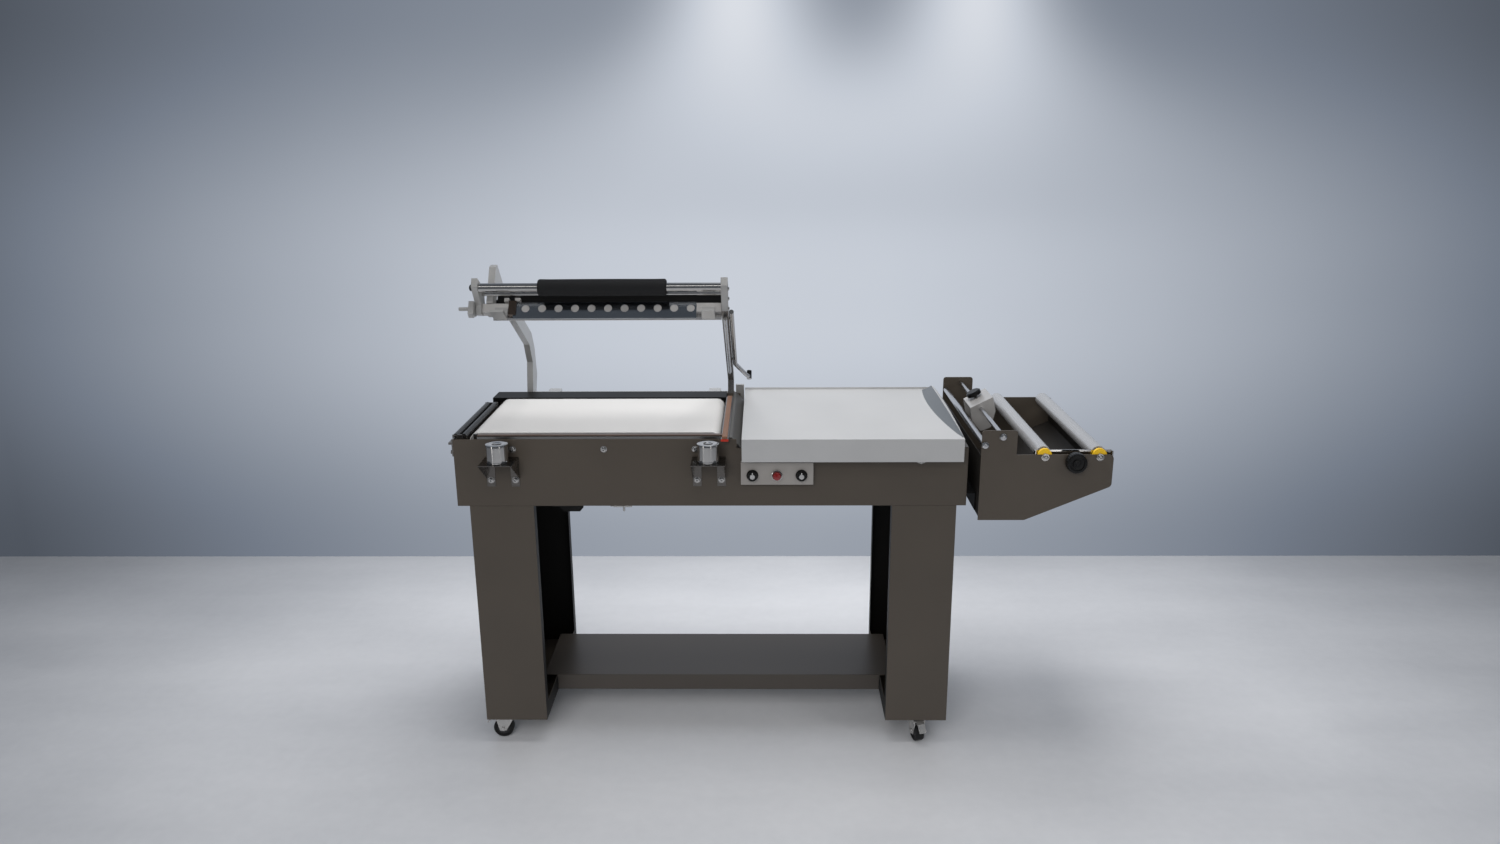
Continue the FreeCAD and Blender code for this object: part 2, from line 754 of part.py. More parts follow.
def make_conveyor():
    """The belt loop, its bed and its two drums."""
    belt_holes = [("drum_left_x", "drum_z"), ("drum_right_x", "drum_z")]
    outer = loop("belt_radius", "belt_y", "belt_width")
    inner = loop("belt_radius - belt_thick", "belt_y - 1", "belt_width + 2")
    node(cut(outer, inner), "conveyor_belt")
    low_y, high_y = "rail_front_y", "rail_back_y + rail_thick"
    top = "belt_z - belt_thick - gap"
    web = f"{top} - rail_thick"
    section = [(low_y, "drum_z - rail_height / 2"), (f"{low_y} + rail_thick", "drum_z - rail_height / 2"),
               (f"{low_y} + rail_thick", web), (f"{high_y} - rail_thick", web),
               (f"{high_y} - rail_thick", "drum_z - rail_height / 2"),
               (high_y, "drum_z - rail_height / 2"), (high_y, top), (low_y, top)]
    start = "drum_left_x - 12"
    bed = plate("YZ", section, start, "drum_right_x - drum_left_x + 24")
    for x, sign in (("drum_left_x", -1), ("drum_right_x", 1)):
        low_x = f"{x} - 13" if sign < 0 else f"{x} - drum_radius - 4"
        cutout = rectangle(low_x, "belt_y - 1", f"{low_x} + drum_radius + 17", "belt_y + belt_width + 1")
        remove(bed, "XY", cutout, f"{web} - 1", "rail_thick + 2")
    for y in (low_y, f"{high_y} - rail_thick"):
        remove(bed, "XZ", (), f"{y} - 1", "rail_thick + 2",
               [(x, z, "drum_shaft + shaft_play") for x, z in belt_holes])
    for i in range(3):
        x = f"left_x + spacer_first + {i} * spacer_pitch"
        add(bed, "XZ", (), "front_y + sheet", "belt_front - rail_side_gap - sheet - rail_thick / 2",
            [(x, "spacer_z", "spacer_radius")])
        add(bed, "XZ", (), f"{high_y} - rail_thick / 2", f"back_y - sheet - ({high_y}) + rail_thick / 2",
            [(x, "spacer_z", "spacer_radius")])
    node(bed, "conveyor_bed")
    for name, x, past in (("drive_drum", "drum_left_x", "32"), ("idle_drum", "drum_right_x", "3")):
        width = "belt_width"
        outline = [("0", "-rail_side_gap - rail_thick - 3"), ("drum_shaft", "-rail_side_gap - rail_thick - 3"),
                   ("drum_shaft", "0.5"), ("drum_radius - 2", "0.5"), ("drum_radius", "2.5"),
                   ("drum_radius", f"{width} - 2.5"), ("drum_radius - 2", f"{width} - 0.5"),
                   ("drum_shaft", f"{width} - 0.5"),
                   ("drum_shaft", f"{width} + rail_side_gap + rail_thick + {past}"),
                   ("0", f"{width} + rail_side_gap + rail_thick + {past}")]
        node(turned("Y", outline, x, "belt_y", "drum_z"), name)


def loop(radius, y, width):
    """A solid with flat top and bottom and half-round ends about the two drums."""
    ends = [rod("Y", radius, width, x, y, "drum_z") for x in ("drum_left_x", "drum_right_x")]
    middle = box("drum_left_x", y, f"drum_z - ({radius})", "drum_right_x - drum_left_x", width,
                 f"2 * ({radius})")
    return fuse(middle, *ends)


def make_gearmotor():
    """The gearmotor on the drive drum's shaft, inside the back of the table."""
    low_y = "rail_back_y + rail_thick"
    size = "gearbox_size"
    housing = plate("XZ", rectangle(f"drum_left_x - {size} / 2 + 12", f"drum_z - {size}",
                                    f"drum_left_x + {size} / 2 + 12", "low_z - 2"), low_y, "44")
    round_corners(housing, "6")
    bored = cut(housing, rod("Y", "drum_shaft + shaft_play", "60", "drum_left_x",
                             f"{low_y} - 1", "drum_z"))
    motor = rod("Z", "motor_radius * 0.65", "motor_height", "drum_left_x + 12", f"{low_y} + 22",
                f"drum_z - {size} - motor_height + 2")
    node(fuse(bored, motor), "gearmotor")


def make_exit_rollers():
    """The two small rollers past the belt's end, and the brackets that carry them."""
    spots = [f"drum_left_x - belt_radius - 6 - exit_radius - {i} * exit_pitch" for i in range(2)]
    low_y, length = "rail_front_y + exit_bracket + gap", "belt_width - 22"
    for i, x in enumerate(spots):
        outline = [("0", "-exit_bracket - 1"), ("exit_shaft", "-exit_bracket - 1"),
                   ("exit_shaft", "0.3"), ("exit_radius", "0.3"), ("exit_radius", f"{length} - 0.3"),
                   ("exit_shaft", f"{length} - 0.3"), ("exit_shaft", f"{length} + exit_bracket + 1"),
                   ("0", f"{length} + exit_bracket + 1")]
        node(turned("Y", outline, x, low_y, "exit_z"), ("inner_exit_roller", "outer_exit_roller")[i])
    pieces = []
    for y in ("rail_front_y + gap", f"{low_y} + {length}"):
        low_x = f"{spots[1]} - exit_radius"
        outline = [(low_x, "low_z - 18"), ("left_x", "low_z - 18"), ("left_x", "low_z"),
                   (f"{spots[0]} + exit_radius", "low_z"), (f"{spots[0]} + exit_radius", "exit_z + 6"),
                   (low_x, "exit_z + 6")]
        piece = plate("XZ", outline, y, "exit_bracket",
                      [(x, "exit_z", "exit_shaft + shaft_play") for x in spots])
        pieces.append(piece)
    strap = plate("YZ", rectangle("front_y + 3", "exit_z - 42", "front_y + 23", "exit_z + 4"), "left_x - 4", "4",
                  ())
    ear = box(f"{spots[1]} - exit_radius", "front_y + 3", "exit_z - 10",
              f"left_x - ({spots[1]}) + exit_radius", "rail_front_y + gap + 1 - front_y - 3", "6")
    head = rod("X", "5.5", "6", "left_x - 9", "front_y + 13", "exit_z - 33")
    node(fuse(strap, ear, head, *pieces), "exit_brackets")


# --- Control panel and tray --------------------------------------------------------------


def make_controls():
    """The control plate with its two dials and the lit push button."""
    face = rectangle("panel_x", "panel_z", "panel_x + panel_width", "panel_z + panel_height")
    panel = plate("XZ", face, "front_y - panel_depth", "panel_depth")
    hollow = rectangle("panel_x + sheet", "panel_z + sheet", "panel_x + panel_width - sheet",
                       "panel_z + panel_height - sheet")
    remove(panel, "XZ", hollow, "front_y - panel_depth + sheet", "panel_depth - sheet")
    spots = ["dial_x", "dial_x + dial_spacing"]
    button_x = "dial_x + dial_spacing / 2"
    holes = [(x, "dial_z", "dial_shaft + shaft_play") for x in spots]
    remove(panel, "XZ", (), "front_y - panel_depth - 1", "sheet + 2",
           holes + [(button_x, "dial_z", "lens_radius - 3 + shaft_play")])
    collar = plate("XZ", (), "front_y - panel_depth - 3", "3",
                   [(button_x, "dial_z", "bezel_radius"), (button_x, "dial_z", "lens_radius + gap")])
    node(group(panel, collar), "control_panel")
    for label, x in zip(("left_dial", "right_dial"), spots):
        skirt = "dial_radius"
        outline = [("0", "8"), ("dial_shaft", "8"), ("dial_shaft", "-gap"), (f"{skirt} + 1.5", "-gap"),
                   (f"{skirt} + 1.5", "-2.5"), (skirt, "-4"), (f"{skirt} - 1", "-dial_length + 1"),
                   (f"{skirt} - 2.5", "-dial_length"), ("0", "-dial_length")]
        knob = turned("Y", outline, x, "front_y - panel_depth", "dial_z")
        flutes(knob, skirt, "-dial_length - 1", "dial_length - 4", 10, "2.2")
        node(knob, label)
    stem = "lens_radius - 3"
    outline = [("0", "8"), (stem, "8"), (stem, "-3 - button_travel"), ("lens_radius", "-3 - button_travel"),
               ("lens_radius", "-9 - button_travel"), ("lens_radius * 0.7", "-12 - button_travel"),
               ("0", "-13 - button_travel")]
    node(turned("Y", outline, button_x, "front_y - panel_depth", "dial_z"), "stop_button")


def flutes(body, radius, start, length, count, depth):
    """Cut evenly spaced finger flutes round a turned knob."""
    doc.recompute()
    before = body.Shape.Volume
    profile = sketch(body, "XY", start)
    circle(profile, f"{radius} + {depth} * 0.4", "0", depth)
    pocket = extrude(body, profile, "XY", length, "PartDesign::Pocket")
    pattern = body.newObject("PartDesign::PolarPattern", "ring")
    pattern.Originals = [pocket]
    pattern.Axis = (profile, ["N_Axis"])
    pattern.Angle = 360
    pattern.Occurrences = count
    body.Tip = pattern
    doc.recompute()
    if body.Shape.Volume >= before:
        raise RuntimeError("the flutes cut nothing")


def plow_section(edge, base, share, thick):
    """The plow's section at one place: a hollow rise to the crest, then a round fall past the edge."""
    upper, lower = [], []
    for i in range(9):
        if i < 5:
            across, rise, fall = i / 4 - 1, (i / 4) ** 2, 0
        else:
            turn = math.radians(22.5 * (i - 4))
            across, rise, fall = math.sin(turn), math.cos(turn), math.sin(turn)
        wide = "plow_width" if i < 5 else "plow_reach"
        x = f"{edge} - 8 * {share} + {across * share:.4f} * {wide}"
        z = f"{base} + {rise * share:.4f} * plow_height + {thick} * (1 - {fall:.4f})"
        upper.append((x, z))
        lower.append((f"{x} - {thick} * {fall:.4f}", f"{z} - {thick} * (1 - {fall:.4f})"))
    return upper + lower[::-1]


def make_tray():
    """The product tray: folded sheet with a deep front apron and a curled film plow."""
    top, thick = "tray_z", "tray_sheet"
    back = "tray_y + tray_depth"
    section = [("tray_y", f"{top} - apron_height"), (f"tray_y + {thick}", f"{top} - apron_height"),
               (f"tray_y + {thick}", f"{top} - {thick}"), (back, f"{top} - {thick}"),
               (back, f"{top} + tray_lip"), (f"{back} - {thick}", f"{top} + tray_lip"),
               (f"{back} - {thick}", top), ("tray_y", top)]
    tray = plate("YZ", section, "tray_x", "tray_length")
    for x in ("tray_x", f"tray_x + tray_length - {thick}"):
        foot = rectangle("front_y + 8", "deck_sheet_z + gap", "back_y - 12", top)
        add(tray, "YZ", foot, x, thick)
    high_x = "tray_x + tray_length"
    loft = tray.newObject("PartDesign::AdditiveLoft", "plow")
    sections = []
    for y, share in (("tray_y + 16", 0.12), ("tray_y + tray_depth * 0.35", 0.75),
                     ("tray_y + tray_depth * 0.7", 1.0), (f"{back} - 16", 0.8)):
        profile = sketch(tray, "XZ", y)
        polygon(profile, plow_section(high_x, f"{top} - {thick}", share, thick))
        profile.Visibility = False
        sections.append(profile)
    loft.Profile = sections[0]
    loft.Sections = sections[1:]
    loft.Ruled = False
    tray.Tip = loft
    return node(tray, "product_tray")


# --- Film unwind -------------------------------------------------------------------------


def unwind_outline():
    """The side plate's outline: tab, roller shelf, nose and sloping underside."""
    x = "unwind_x"
    return [(x, "plate_bottom"), (f"{x} + plate_foot", "plate_bottom"),
            (f"{x} + unwind_length", "plate_high - plate_nose"),
            (f"{x} + unwind_length", "plate_high"), (f"{x} + tab_length", "plate_high"),
            (f"{x} + tab_length", "plate_high + tab_height"), (x, "plate_high + tab_height")]


def roller_spots():
    """The x of each film roller."""
    return ["roller_x", "roller_x + roller_pitch"]


def make_unwind_plates():
    """The two side plates of the film unwind, slotted for the roller shafts."""
    for label, y in (("unwind_front_plate", "unwind_y"), ("unwind_back_plate", "unwind_back_y")):
        side = plate("XZ", unwind_outline(), y, "plate_wall")
        round_corners(side, "nose_radius", (2, 3))
        round_corners_of(side, "tab_height / 8", (5, 6))
        reach = "roller_shaft + shaft_play"
        remove(side, "XZ", (), f"{y} - 1", "plate_wall + 2",
               [(x, "roller_z", reach) for x in roller_spots()])
        for x in roller_spots():
            slot = rectangle(f"{x} - ({reach})", "roller_z", f"{x} + {reach}", "plate_high + 1")
            remove(side, "XZ", slot, f"{y} - 1", "plate_wall + 2")
        holes = [("bar_x", "bar_z", "bar_radius + shaft_play"), ("rod_x", "rod_z", "rod_radius + shaft_play")]
        if y == "unwind_y":
            holes.append(("knob_x", "knob_z", "5 + shaft_play"))
        remove(side, "XZ", (), f"{y} - 1", "plate_wall + 2", holes)
        node(side, label)


def round_corners_of(body, radius, spots):
    """Round further corners of a body's first outline, by number."""
    doc.recompute()
    profile = body.Group[0]
    turn = profile.Placement
    corners = [turn.multVec(profile.Geometry[i].StartPoint) for i in spots]
    normal = turn.Rotation.multVec(Vector(0, 0, 1))
    tip, names = body.Tip, []
    for number, edge in enumerate(tip.Shape.Edges, start=1):
        if len(edge.Vertexes) != 2:
            continue
        start, end = (v.Point for v in edge.Vertexes)
        along = (end - start).cross(normal).Length < 0.001
        if along and any((start - c).cross(normal).Length < 0.01 for c in corners):
            names.append(f"Edge{number}")
    feature = body.newObject("PartDesign::Fillet", "rounding")
    feature.Base = (tip, names)
    feature.setExpression("Radius", ex(radius))
    body.Tip = feature


def make_cradle():
    """The folded trough that joins the side plates under the film roll."""
    x, wall = "unwind_x", "sheet"
    end_x = f"{x} + unwind_length - 6"
    slope = "(plate_high - plate_nose - plate_bottom) / (unwind_length - plate_foot)"
    drop = "10"
    outer = [(x, "plate_high - 2"), (x, f"plate_bottom + {drop}"),
             (f"{x} + plate_foot", f"plate_bottom + {drop}"),
             (end_x, f"plate_bottom + {drop} + (unwind_length - plate_foot - 6) * {slope}"),
             (end_x, "plate_high - 40"), (f"{end_x} - {wall}", "plate_high - 40"),
             (f"{end_x} - {wall}", f"plate_bottom + {drop} + {wall} + (unwind_length - plate_foot - 8) * {slope}"),
             (f"{x} + plate_foot", f"plate_bottom + {drop} + {wall}"),
             (f"{x} + {wall}", f"plate_bottom + {drop} + {wall}"), (f"{x} + {wall}", "plate_high - 2")]
    trough = plate("XZ", outer, "unwind_y + plate_wall", "unwind_span - plate_wall")
    node(trough, "cradle_trough")
    low_x, high_x = "right_x", "unwind_x"
    bend = "leg_top + 30"
    arm = [(low_x, bend), (f"{high_x} - 3", bend), (f"{high_x} - 3", "plate_bottom + 14"),
           (high_x, "plate_bottom + 14"), (high_x, f"{bend} + 3"), (f"{low_x} + 3", f"{bend} + 3"),
           (f"{low_x} + 3", "low_z - 4"), (low_x, "low_z - 4")]
    node(plate("XZ", arm, "front_y + 10", "body_depth - 30"), "unwind_bracket")


def make_roller_supports():
    """The bearings at both roller ends and the hat-shaped strip behind the front ones."""
    discs = []
    ends = {"unwind_y + plate_wall + gap": "bearing_radius",
            "unwind_back_y - gap - bearing_thick": "bearing_radius - 5"}
    for y, radius in ends.items():
        for x in roller_spots():
            discs.append(plate("XZ", (), y, "bearing_thick",
                               [(x, "roller_z", radius),
                                (x, "roller_z", "roller_shaft + shaft_play")]))
    node(group(*discs), "roller_bearings")
    low_x, high_x = "roller_x - 26", "roller_x + roller_pitch + 34"
    near, far = "unwind_y + plate_wall", "strip_y + strip_thick"
    plan = [(low_x, near), (f"{low_x} + strip_thick", near), (f"{low_x} + strip_thick", "strip_y"),
            (f"{high_x} - strip_thick", "strip_y"), (f"{high_x} - strip_thick", near), (high_x, near),
            (high_x, far), (low_x, far)]
    strip = plate("XY", plan, "plate_high + 9 - strip_height", "strip_height")
    remove(strip, "XZ", (), "strip_y - 1", "strip_thick + 2",
           [(x, "roller_z", "roller_shaft + shaft_play") for x in roller_spots()])
    node(strip, "roller_end_strip")


def make_rollers():
    """The two film rollers, each a tube turning on its shaft."""
    length = "unwind_span - plate_wall - strip_gap - strip_thick - bearing_thick - 6"
    for label, x in zip(("left_film_roller", "right_film_roller"), roller_spots()):
        before = "strip_gap + strip_thick + plate_wall + 2 + 5"
        after = "bearing_thick + 4 + plate_wall + 5"
        outline = [("0", f"-({before})"), ("roller_shaft", f"-({before})"), ("roller_shaft", "0"),
                   ("roller_radius - 6", "0"), ("roller_radius - 4", "3"), ("roller_radius - 3", "0"),
                   ("roller_radius", "0"),
                   ("roller_radius", length), ("roller_shaft", length),
                   ("roller_shaft", f"{length} + {after}"), ("0", f"{length} + {after}")]
        node(turned("Y", outline, x, "strip_y + strip_thick + 2", "roller_z"), label)


def make_tension_knob():
    """The large black knob that sets the roll brake."""
    inner = "plate_wall + strip_gap - 4"
    outline = [("0", inner), ("5", inner), ("5", "-gap"), ("14", "-gap"), ("14", "-5"),
               ("knob_radius", "-8"), ("knob_radius", "-knob_length + 3"),
               ("knob_radius - 3", "-knob_length"), ("knob_radius - 8", "-knob_length"),
               ("knob_radius - 9", "-knob_length + 3"), ("0", "-knob_length + 3")]
    knob = turned("Y", outline, "knob_x", "unwind_y", "knob_z")
    flutes(knob, "knob_radius", "-knob_length - 1", "knob_length - 7", 24, "1.6")
    node(knob, "tension_knob")


def make_guides():
    """The film guide bar and the perforator's rod, with the nuts at their ends."""
    start, length = "unwind_y - 7", "unwind_span + plate_wall + 14"
    pieces = []
    for x, z, radius in (("bar_x", "bar_z", "bar_radius"), ("rod_x", "rod_z", "rod_radius")):
        end = f"{length}"
        outline = [("0", "0"), ("bolt_head * 0.5", "0"), ("bolt_head * 0.9", "2"), ("bolt_head", "4"),
                   ("bolt_head", "7"), (radius, "7"), (radius, f"{end} - 7"), ("bolt_head", f"{end} - 7"),
                   ("bolt_head", f"{end} - 4"), ("bolt_head * 0.9", f"{end} - 2"),
                   ("bolt_head * 0.5", end), ("0", end)]
        pieces.append(turned("Y", outline, x, start, z))
    node(group(*pieces), "film_guide_bars")


def on_rod(obj):
    """Tilt a piece, drawn level about the perforator's rod, up towards the rollers."""
    obj.Placement = Placement(Vector(), Rotation(Vector(0, -1, 0), 10))
    for axis, text in zip("xyz", ("rod_x", "perforator_y", "rod_z")):
        obj.setExpression(f".Placement.Base.{axis}", ex(text))
    obj.setExpression(".Placement.Rotation.Angle", ex("perforator_tilt"))
    return obj


def make_perforator():
    """The pin perforator: a cheeked bracket on its rod, a pinned wheel and a clamp knob."""
    top = "rod_radius + 8"
    outline = [("-27", f"{top} + 4"), ("42", f"{top} + 4"), ("42", top), ("33", "-22"), ("15", "-44"),
               ("2", "-60"), ("-29", "-58"), ("-38", "-18")]
    wheel = ("-12", "-36")
    cheeks = []
    for y in ("0", "perforator_length - cheek_thick"):
        cheek = plate("XZ", outline, y, "cheek_thick", [("0", "0", "rod_radius + shaft_play")])
        round_corners(cheek, "6", (3, 4, 5, 6, 7))
        cheeks.append(cheek)
    lid = plate("XZ", rectangle("-27", top, "42", f"{top} + 4"), "cheek_thick / 2",
                "perforator_length - cheek_thick", ())
    knob_y = "perforator_length * 0.68"
    well = rod("Z", "4 + shaft_play", "7", "4", knob_y, f"{top} - 2")
    axle = rod("Y", "pin_wheel_shaft", "perforator_length - cheek_thick", wheel[0], "cheek_thick / 2",
               wheel[1])
    node(on_rod(cut(fuse(lid, *cheeks, axle), well)), "perforator_bracket")
    radius, bore = "pin_wheel_radius", "pin_wheel_shaft + shaft_play"
    rim = [(bore, "0"), ("9", "0"), ("9", "4"), (f"{radius} - 4", "4"), (radius, "7"), (radius, "8"),
           (f"{radius} - 4", "11"), ("9", "11"), ("9", "15"), (bore, "15")]
    disc = turned("Y", rim, wheel[0], "cheek_thick + 12", wheel[1])
    node(on_rod(group(disc)), "perforator_wheel")
    head = [("0", f"{top} - 1"), ("4", f"{top} - 1"), ("4", f"{top} + 8"), ("10", f"{top} + 9"),
            ("clamp_radius", f"{top} + 11"), ("clamp_radius", f"{top} + 20"),
            ("clamp_radius - 4", f"{top} + 23"), ("0", f"{top} + 23")]
    node(on_rod(group(turned("Z", head, "4", knob_y, "0"))), "perforator_knob")


# --- Sealing arm -------------------------------------------------------------------------


def make_arm():
    """Everything that swings on the rear hinge, drawn about the hinge axis with the arm shut."""
    left_x, right_x = "beam_left_x", "beam_right_x"
    beam = plate("YZ", rectangle("beam_front", "beam_low", "beam_front + beam_depth",
                                 "beam_low + beam_height"), left_x, f"{right_x} - ({left_x})")
    far, start = "beam_front + beam_depth", "arch_x + arch_thick + gap"
    add(beam, "YZ", rectangle(far, "beam_low + 4", f"{far} + rail_deep", "beam_low + beam_height + rail_tall"),
        start, f"{right_x} - ({start})")
    node(on_arm(beam), "front_seal_beam")

    low = "blade_low"
    half = "blade_width / 2"
    front = plate("YZ", [("seal_line - 1", low), ("seal_line + 1", low),
                         (f"seal_line + {half}", f"{low} + 5"), (f"seal_line + {half}", "beam_low"),
                         (f"seal_line - {half}", "beam_low"), (f"seal_line - {half}", f"{low} + 5")],
                  f"{left_x} + 26", f"{right_x} - ({left_x}) - 26")
    side = plate("XZ", [("side_x - 1", low), ("side_x + 1", low), (f"side_x + {half}", f"{low} + 5"),
                        (f"side_x + {half}", "beam_low"), (f"side_x - {half}", "beam_low"),
                        (f"side_x - {half}", f"{low} + 5")],
                 f"seal_line + {half} + 0.5", "side_pad_back - pad_setback - 12")
    node(on_arm(group(front, side)), "seal_blades")

    side_low, side_high = "beam_low", "beam_low + beam_height"
    boss = "hinge_radius + 8"
    rise = [("beam_front", side_low), (f"-({boss}) - 10", side_low), (f"-({boss}) + 4", f"-({boss}) + 2"),
            (f"{boss} - 4", f"-({boss}) + 2"), (boss, "-2"), (boss, "10"), ("4", f"{side_high} - 8"),
            ("-14", side_high), ("beam_front", side_high)]
    bar = plate("YZ", rise, right_x, "side_beam_width",
                [("0", "0", "hinge_radius")])
    node(on_arm(bar), "side_seal_beam")

    make_arch()
    make_shroud()
    make_handle()
    make_keepers()
    make_hook_bar()
    start, end = "arch_x - 4", "beam_right_x + side_beam_width + 4"
    shaft = rod("X", "hinge_radius", f"{end} - ({start})", start, "0", "0")
    node(on_arm(group(shaft)), "hinge_shaft")


def make_arch():
    """The left lever: a cast arch over the conveyor from the hinge to the front beam."""
    top, deep, foot = "arch_top", "arch_depth", "arch_foot"
    tip = "beam_front - 4"
    back, high = "beam_front + beam_depth", "beam_low + beam_height"
    outline = [(tip, f"{top} + arch_peak - 12"), (f"{tip} + 12", f"{top} + arch_peak"),
               (f"{tip} + 76", top), ("-100", f"{top} + 6"),
               ("-46", f"{top} - 22"), ("12", "70"), ("22", "0"), ("12", "-20"), ("-14", "-20"),
               ("-26", "0"), (f"-{foot}", "84"), ("-118", f"{top} + 6 - {deep}"),
               ("seal_line + 60", f"{top} - {deep}"), (f"{back} + 8", f"{high} + 6"),
               (f"{back} + 8", "beam_low"), (back, "beam_low"), (back, high), (tip, high)]
    arch = plate("YZ", outline, "arch_x", "arch_thick")
    round_corners(arch, "20", (3, 4, 11))
    arch = cut(arch, rod("X", "hinge_radius", "arch_thick + 2", "arch_x - 1", "0", "0"))
    node(on_arm(arch), "left_arch_arm")


def make_shroud():
    """The steel cover of the front seal bar, with its row of cooling holes."""
    near, far = "beam_front - sheet", "beam_front + beam_depth"
    high = "beam_low + beam_height"
    section = [(near, f"{high} + sheet - shroud_height"), ("beam_front", f"{high} + sheet - shroud_height"),
               ("beam_front", high), (far, high), (far, f"{high} + sheet"), (near, f"{high} + sheet")]
    shroud = plate("YZ", section, "shroud_x", "shroud_length")
    first = "shroud_x + shroud_first"
    doc.recompute()
    before = shroud.Shape.Volume
    profile = sketch(shroud, "XZ", f"{near} - 1")
    circle(profile, first, "beam_low + beam_height / 2 - 3", "shroud_hole")
    pocket = extrude(shroud, profile, "XZ", "sheet + 2", "PartDesign::Pocket")
    row = shroud.newObject("PartDesign::LinearPattern", "holes")
    row.Originals = [pocket]
    row.Direction = (profile, ["H_Axis"])
    row.setExpression("Length", ex("10 * shroud_pitch"))
    row.Occurrences = 11
    shroud.Tip = row
    doc.recompute()
    if shroud.Shape.Volume >= before:
        raise RuntimeError("the shroud's holes cut nothing")
    node(on_arm(shroud), "seal_shroud")


def make_handle():
    """The lift bar with its foam grip, and the end pieces that hold it."""
    left_x, right_x = "beam_left_x", "beam_right_x"
    span = f"{right_x} - ({left_x})"
    bar = rod("X", "handle_radius", f"{span} + 24", f"{left_x} - 12", "handle_y", "handle_z")
    thin = rod("X", "5", span, left_x, "handle_y + 34", "handle_z - 2")
    node(on_arm(group(bar, thin)), "handle_rods")
    start = "left_x + grip_from_left"
    grip = cut(rod("X", "grip_radius", "grip_length", start, "handle_y", "handle_z"),
               rod("X", "handle_radius", "grip_length + 2", f"{start} - 1", "handle_y", "handle_z"))
    node(on_arm(grip), "foam_grip")
    high, reach = "beam_low + beam_height", "handle_radius + 7"
    crown = [("beam_front - 9", f"{high} - 10"), (f"handle_y - ({reach})", "handle_z - 6"),
             (f"handle_y - ({reach})", f"handle_z + {reach}"), ("handle_y + 46", f"handle_z + {reach}")]
    bores = [("handle_y", "handle_z", "handle_radius")]
    behind = [("beam_front + beam_depth", f"{high} + 6"), ("beam_front + beam_depth", "beam_low"),
              ("beam_front - sheet", "beam_low - 8")]
    left = plate("YZ", crown + behind, f"{left_x} - 16", "16", bores)
    right = plate("YZ", crown + [("beam_front", f"{high} + 3"), ("beam_front", "beam_low")],
                  right_x, "side_beam_width", bores)
    latch = plate("YZ", [("beam_front - 26", f"{high} - 4"), ("beam_front - 26", f"{high} - 40"),
                         ("beam_front - 12", f"{high} - 46"), ("beam_front + 14", f"{high} - 30"),
                         ("beam_front + 18", f"{high} - 4")], f"{left_x} - 30", "14",
                  [("beam_front - 10", f"{high} - 20", "5")])
    pin = rod("X", "5", "42", f"{left_x} - 58", "beam_front - 10", f"{high} - 20")
    node(on_arm(group(left, right, latch, pin)), "arm_end_brackets")


def make_keepers():
    """The steel keepers that the magnets pull, hung from the front beam."""
    pieces = []
    for x in magnet_spots():
        low = "keeper_low"
        half = "keeper_size / 2"
        block = plate("YZ", [(f"keeper_y - {half}", low), (f"keeper_y + {half}", low),
                             ("beam_front", low), ("beam_front", "beam_low + 12"),
                             ("beam_front - 4", "beam_low + 12"), ("beam_front - 4", f"{low} + keeper_thick"),
                             (f"keeper_y - {half}", f"{low} + keeper_thick")],
                      f"{x} - {half}", "keeper_size")
        pieces.append(block)
    node(on_arm(group(*pieces)), "magnet_keepers")


def make_hook_bar():
    """The bent bar beside the side seal beam, hooked at its rear end."""
    body = doc.addObject("PartDesign::Body", "hook")
    x, high = "side_x + side_beam_width / 2 + hook_radius + 1", "beam_low + 6"
    path = body.newObject("Sketcher::SketchObject", "path")
    role = PLANES["XY"]
    path.AttachmentSupport = (next(o for o in body.Origin.OriginFeatures if o.Role == role), [""])
    path.MapMode = "FlatFace"
    path.setExpression(".AttachmentOffset.Base.z", ex(high))
    stops = [(x, "seal_line - 6"), (x, "-150"), (f"{x} + hook_out * 0.75", "-60"),
             (f"{x} + hook_out", "-38")]
    for i in range(len(stops) - 1):
        path.addGeometry(Part.LineSegment(Vector(0, 20 * i), Vector(3 * i, 20 * (i + 1))), False)
    for i in range(len(stops) - 2):
        path.addConstraint(Sketcher.Constraint("Coincident", i, 2, i + 1, 1))
    for i, (across, up) in enumerate(stops):
        item, point = (i, 1) if i < len(stops) - 1 else (i - 1, 2)
        bind(path, "DistanceX", item, point, across)
        bind(path, "DistanceY", item, point, up)
    profile = sketch(body, "XZ", stops[0][1])
    circle(profile, x, high, "hook_radius - 0.1")
    pipe = body.newObject("PartDesign::AdditivePipe", "sweep")
    pipe.Profile = profile
    pipe.Spine = path
    pipe.Transition = "Round corner"
    body.Tip = pipe
    path.Visibility = profile.Visibility = False
    prong = rod("Z", "hook_radius + 1", "hook_tall", f"{x} + hook_out", "-38", f"{high} - hook_radius")
    face = "beam_right_x + side_beam_width"
    bosses = [rod("X", "hook_radius - 2", f"{x} - ({face})", face, y, high) for y in ("seal_line + 40", "-190")]
    node(on_arm(fuse(body, prong, *bosses)), "hook_bar")


